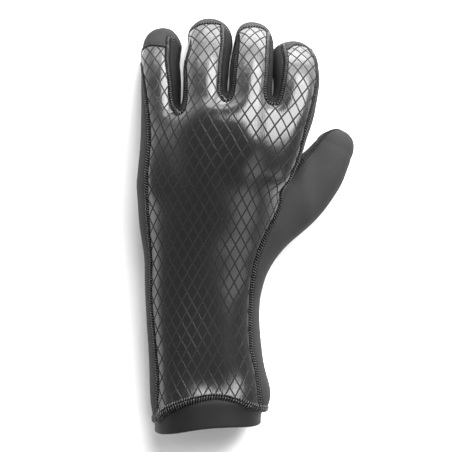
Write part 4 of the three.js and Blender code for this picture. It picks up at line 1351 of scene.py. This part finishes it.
def light_panels(studio):
    """The softbox, the low back light and the two cards, all facing the glove."""
    for name, zenith, azimuth, distance, wide, high, setting in PANEL_LIGHTS:
        light = bpy.data.lights.new(name, "AREA")
        light.shape = "RECTANGLE"
        light.size, light.size_y = wide, high
        light.energy = getattr(studio, setting)
        up, round_ = np.radians(zenith), np.radians(azimuth)
        towards = Vector((np.sin(up) * np.cos(round_), np.sin(up) * np.sin(round_), np.cos(up)))
        place_lamp(light, towards * distance, towards)


def light_floor(studio):
    spot = bpy.data.lights.new("floor_light", "SPOT")
    spot.energy = studio.spot
    spot.spot_size = np.radians(FLOOR_LIGHT_CONE)
    spot.spot_blend = FLOOR_LIGHT_BLEND
    spot.shadow_soft_size = FLOOR_LIGHT_SIZE
    place_lamp(spot, FLOOR_LIGHT_FROM, Vector(FLOOR_LIGHT_FROM) - Vector(FLOOR_LIGHT_TO))


def light_world(studio):
    """White light from all sides, brighter towards the horizon, where a studio's walls are."""
    world = bpy.data.worlds.new("studio")
    world.use_nodes = True
    tree = world.node_tree
    tree.nodes.clear()
    direction = add(tree, "ShaderNodeSeparateXYZ", add(tree, "ShaderNodeTexCoord").outputs["Generated"])
    steep = add(tree, "ShaderNodeMath", direction.outputs[2], operation="ABSOLUTE")
    level = add(tree, "ShaderNodeMath", 1.0, steep, operation="SUBTRACT")
    walls = add(tree, "ShaderNodeMath", level, HORIZON_POWER, operation="POWER")
    glow = add(tree, "ShaderNodeMath", walls, studio.horizon, 1.0, operation="MULTIPLY_ADD")
    light = add(tree, "ShaderNodeMath", glow, studio.ambient, operation="MULTIPLY")
    background = add(tree, "ShaderNodeBackground", {"Strength": light})
    add(tree, "ShaderNodeOutputWorld", {"Surface": background})
    bpy.context.scene.world = world


# Operators

class PieceOperator:
    """Runs an operator's build, which raises an error where it can't finish"""
    bl_options = {"REGISTER", "UNDO"}

    def execute(self, context):
        self.build(context.scene)
        return {"FINISHED"}


class GLOVE_OT_back_panel(PieceOperator, bpy.types.Operator):
    """Builds the coated back with the backs of the four fingers"""
    bl_idname = "glove.back_panel"
    bl_label = "Coated back"

    def build(self, scene):
        panel_piece("coated_back", "back_panel", coated_skin(), "coated_skin")


class GLOVE_OT_palm_panel(PieceOperator, bpy.types.Operator):
    """Builds the jersey palm with the fronts and tips of the fingers"""
    bl_idname = "glove.palm_panel"
    bl_label = "Jersey palm"

    def build(self, scene):
        panel_piece("jersey_palm", "palm_panel", jersey("jersey"), "jersey")


class GLOVE_OT_thumb_panel(PieceOperator, bpy.types.Operator):
    """Builds the jersey panel over the back of the thumb and along the index finger"""
    bl_idname = "glove.thumb_panel"
    bl_label = "Jersey thumb"

    def build(self, scene):
        panel_piece("jersey_thumb", "thumb_panel", jersey("jersey"), "jersey")


class GLOVE_OT_fourchettes(PieceOperator, bpy.types.Operator):
    """Builds the three strips between the fingers"""
    bl_idname = "glove.fourchettes"
    bl_label = "Fourchettes"

    def build(self, scene):
        for panel in FOURCHETTES:
            name = panel.replace("fourchette", "strip")
            # The strips' darker jersey is partly painted shade between the fingers
            panel_piece(name, panel, jersey("fourchette"), "fourchette_jersey")


class GLOVE_OT_cuff_band(PieceOperator, bpy.types.Operator):
    """Builds the smooth band sewn inside the hem"""
    bl_idname = "glove.cuff_band"
    bl_label = "Cuff band"
    sides: IntProperty(name="Sides", default=220, min=24, description="Points round the band")
    rows: IntProperty(name="Rows", default=24, min=4, description="Points along the band")
    rim_steps: IntProperty(name="Rim steps", default=8, min=2, description="Steps round the edge of the band")
    wall: length("Wall", 0.002, "Thickness of the band")

    def profile(self):
        """Places round the band's cut: share of its length, side from 0 outside to 2 inside, and overhang."""
        straight = np.linspace(1, 0, self.rows)
        rim = np.linspace(0, np.pi, self.rim_steps + 1)[1:-1]
        outside = [(share, 0, 0) for share in straight]
        inside = [(share, 2, 0) for share in straight[::-1]]
        return outside + [(0, 1 - np.cos(a), np.sin(a)) for a in rim] + inside

    def build(self, scene):
        wall = self.wall / MM
        turn = np.linspace(0, 2 * np.pi, self.sides, endpoint=False)
        power = 2 / PALM_SQUARENESS
        across = np.sign(np.cos(turn)) * np.abs(np.cos(turn)) ** power
        up = np.sign(np.sin(turn)) * np.abs(np.sin(turn)) ** power
        centre, half_width, *_ = palm_section(0)
        rings = []
        for share, inwards, past in self.profile():
            inset = BAND_INSET - BAND_STEP * min((1 - share) / BAND_STEP_PART, 1) + inwards * wall / 2
            x = centre + across * (half_width - inset)
            low = np.interp(x, BAND_RIM_ROWS[:, 0], BAND_RIM_ROWS[:, 1])
            low = low + BAND_CORNER * np.abs(across) ** BAND_CORNER_SQUARENESS + wall / 2
            y = low + share * (hem_line(x, up > 0) + BAND_LAP - low) - past * wall / 2
            middle_x, wide, middle, high, *_ = palm_section(y)
            z = np.maximum(middle + up * (high - inset), inset)
            rings.append(np.stack([middle_x + across * (wide - inset), y, z], -1))
        points = np.vstack(rings)
        grid = np.arange(len(points)).reshape(len(rings), self.sides)
        ahead, over = np.roll(grid, -1, axis=0), np.roll(grid, -1, axis=1)
        faces = np.stack([grid, over, np.roll(over, -1, axis=0), ahead], -1).reshape(-1, 4)
        piece = new_piece("smooth_band", in_part(points), faces.tolist())
        piece.data.materials.append(smooth_rubber())
        finish_piece(piece, "smooth_band", "cuff_band")
        piece.data.set_sharp_from_angle(angle=SHARP_TURN)


class GLOVE_OT_panel_seams(PieceOperator, bpy.types.Operator):
    """Sews the panels together, a piece for each family of seams"""
    bl_idname = "glove.panel_seams"
    bl_label = "Panel seams"

    def build(self, scene):
        stitches = scene.glove_stitches
        families = {
            "seams_back": [(BACK, THUMB_PANEL), (BACK, PALM_PANEL)],
            "seams_tips": [(BACK, TIPS)],
            "seams_thumb": [(THUMB_PANEL, PALM_PANEL)],
            "seams_fingers": [
                (low, high) for low in range(len(FOURCHETTES)) for high in (BACK, THUMB_PANEL, PALM_PANEL)],
        }
        seams = sheet_now().seams
        lift = relief_at(0) + stitches.lift / MM
        for name, pairs in families.items():
            lines = [line for pair in pairs for line in seams.get(pair, ())]
            width = stitches.tip_width if name == "seams_tips" else stitches.width
            sew(name, lines, lift, seam_values(Width=width))


class GLOVE_OT_hem(PieceOperator, bpy.types.Operator):
    """Sews the rolled hem round the wrist"""
    bl_idname = "glove.hem"
    bl_label = "Hem"

    def build(self, scene):
        stitches = scene.glove_stitches
        edge, row = stitches.hem_bead, stitches.hem_row / MM
        values = seam_values(
            Width=edge * HEM_STITCH_WIDTH, Rise=edge * HEM_STITCH_RISE, Thread=stitches.hem_thread, Bead=edge)
        lines = [line for (low, _), found in sheet_now().seams.items() if low < 0 for line in found]
        sew("hem_stitches", lines, relief_at(FAR, 0) - HEM_SUNK, values)
        lines = [moved_in(line, row) for line in lines]
        lift = relief_at(FAR, row) + stitches.bead / MM / 2
        sew("hem_row", lines, lift, seam_values(Seed=stitches.seed + 1))


class GLOVE_OT_studio(PieceOperator, bpy.types.Operator):
    """Lays the paper floor and sets the lamps, the light from all sides and the camera"""
    bl_idname = "glove.studio"
    bl_label = "Studio"
    view_width: length("View width", 0.28024, "Width of what the camera sees at the glove")
    view_x: length("View X", -0.01198, "Middle of the view across", -1)
    view_y: length("View Y", -0.00014, "Middle of the view along", -1)
    view_height: length("View height", 0.02, "Height at which the view width is measured")

    def build(self, scene):
        lay_floor()
        light_panels(scene.glove_studio)
        light_floor(scene.glove_studio)
        light_world(scene.glove_studio)
        camera = bpy.data.cameras.new("camera")
        camera.lens = scene.glove_studio.lens / MM
        camera.clip_end = CAMERA_REACH
        eye = bpy.data.objects.new("camera", camera)
        away = self.view_width * camera.lens / camera.sensor_width
        eye.location = (self.view_x, self.view_y, self.view_height + away)
        scene.collection.objects.link(eye)
        scene.camera = eye
        scene.view_settings.view_transform = "Standard"


OPERATORS = (
    GLOVE_OT_studio, GLOVE_OT_back_panel, GLOVE_OT_palm_panel, GLOVE_OT_thumb_panel, GLOVE_OT_fourchettes,
    GLOVE_OT_cuff_band, GLOVE_OT_panel_seams, GLOVE_OT_hem,
)
SETTINGS = {
    "glove_sheet": GloveSheet, "glove_net": GloveNet, "glove_stitches": GloveStitches,
    "glove_colours": GloveColours, "glove_studio": GloveStudio,
}


class VIEW3D_PT_glove(bpy.types.Panel):
    """Lists the glove's settings and its operators"""
    bl_label = "Neoprene glove"
    bl_space_type = "VIEW_3D"
    bl_region_type = "UI"
    bl_category = "Glove"

    def draw(self, context):
        for name, kind in SETTINGS.items():
            column = self.layout.box().column()
            for key in kind.__annotations__:
                column.prop(getattr(context.scene, name), key)
        for operator in OPERATORS:
            self.layout.operator(operator.bl_idname)


CLASSES = (*SETTINGS.values(), *OPERATORS, VIEW3D_PT_glove)


def register():
    for kind in CLASSES:
        bpy.utils.register_class(kind)
    for name, kind in SETTINGS.items():
        setattr(bpy.types.Scene, name, PointerProperty(type=kind))


def unregister():
    for name in SETTINGS:
        delattr(bpy.types.Scene, name)
    for kind in reversed(CLASSES):
        bpy.utils.unregister_class(kind)


def main():
    register()
    for operator in OPERATORS:
        category, name = operator.bl_idname.split(".")
        getattr(getattr(bpy.ops, category), name)()


if __name__ == "__main__":
    main()
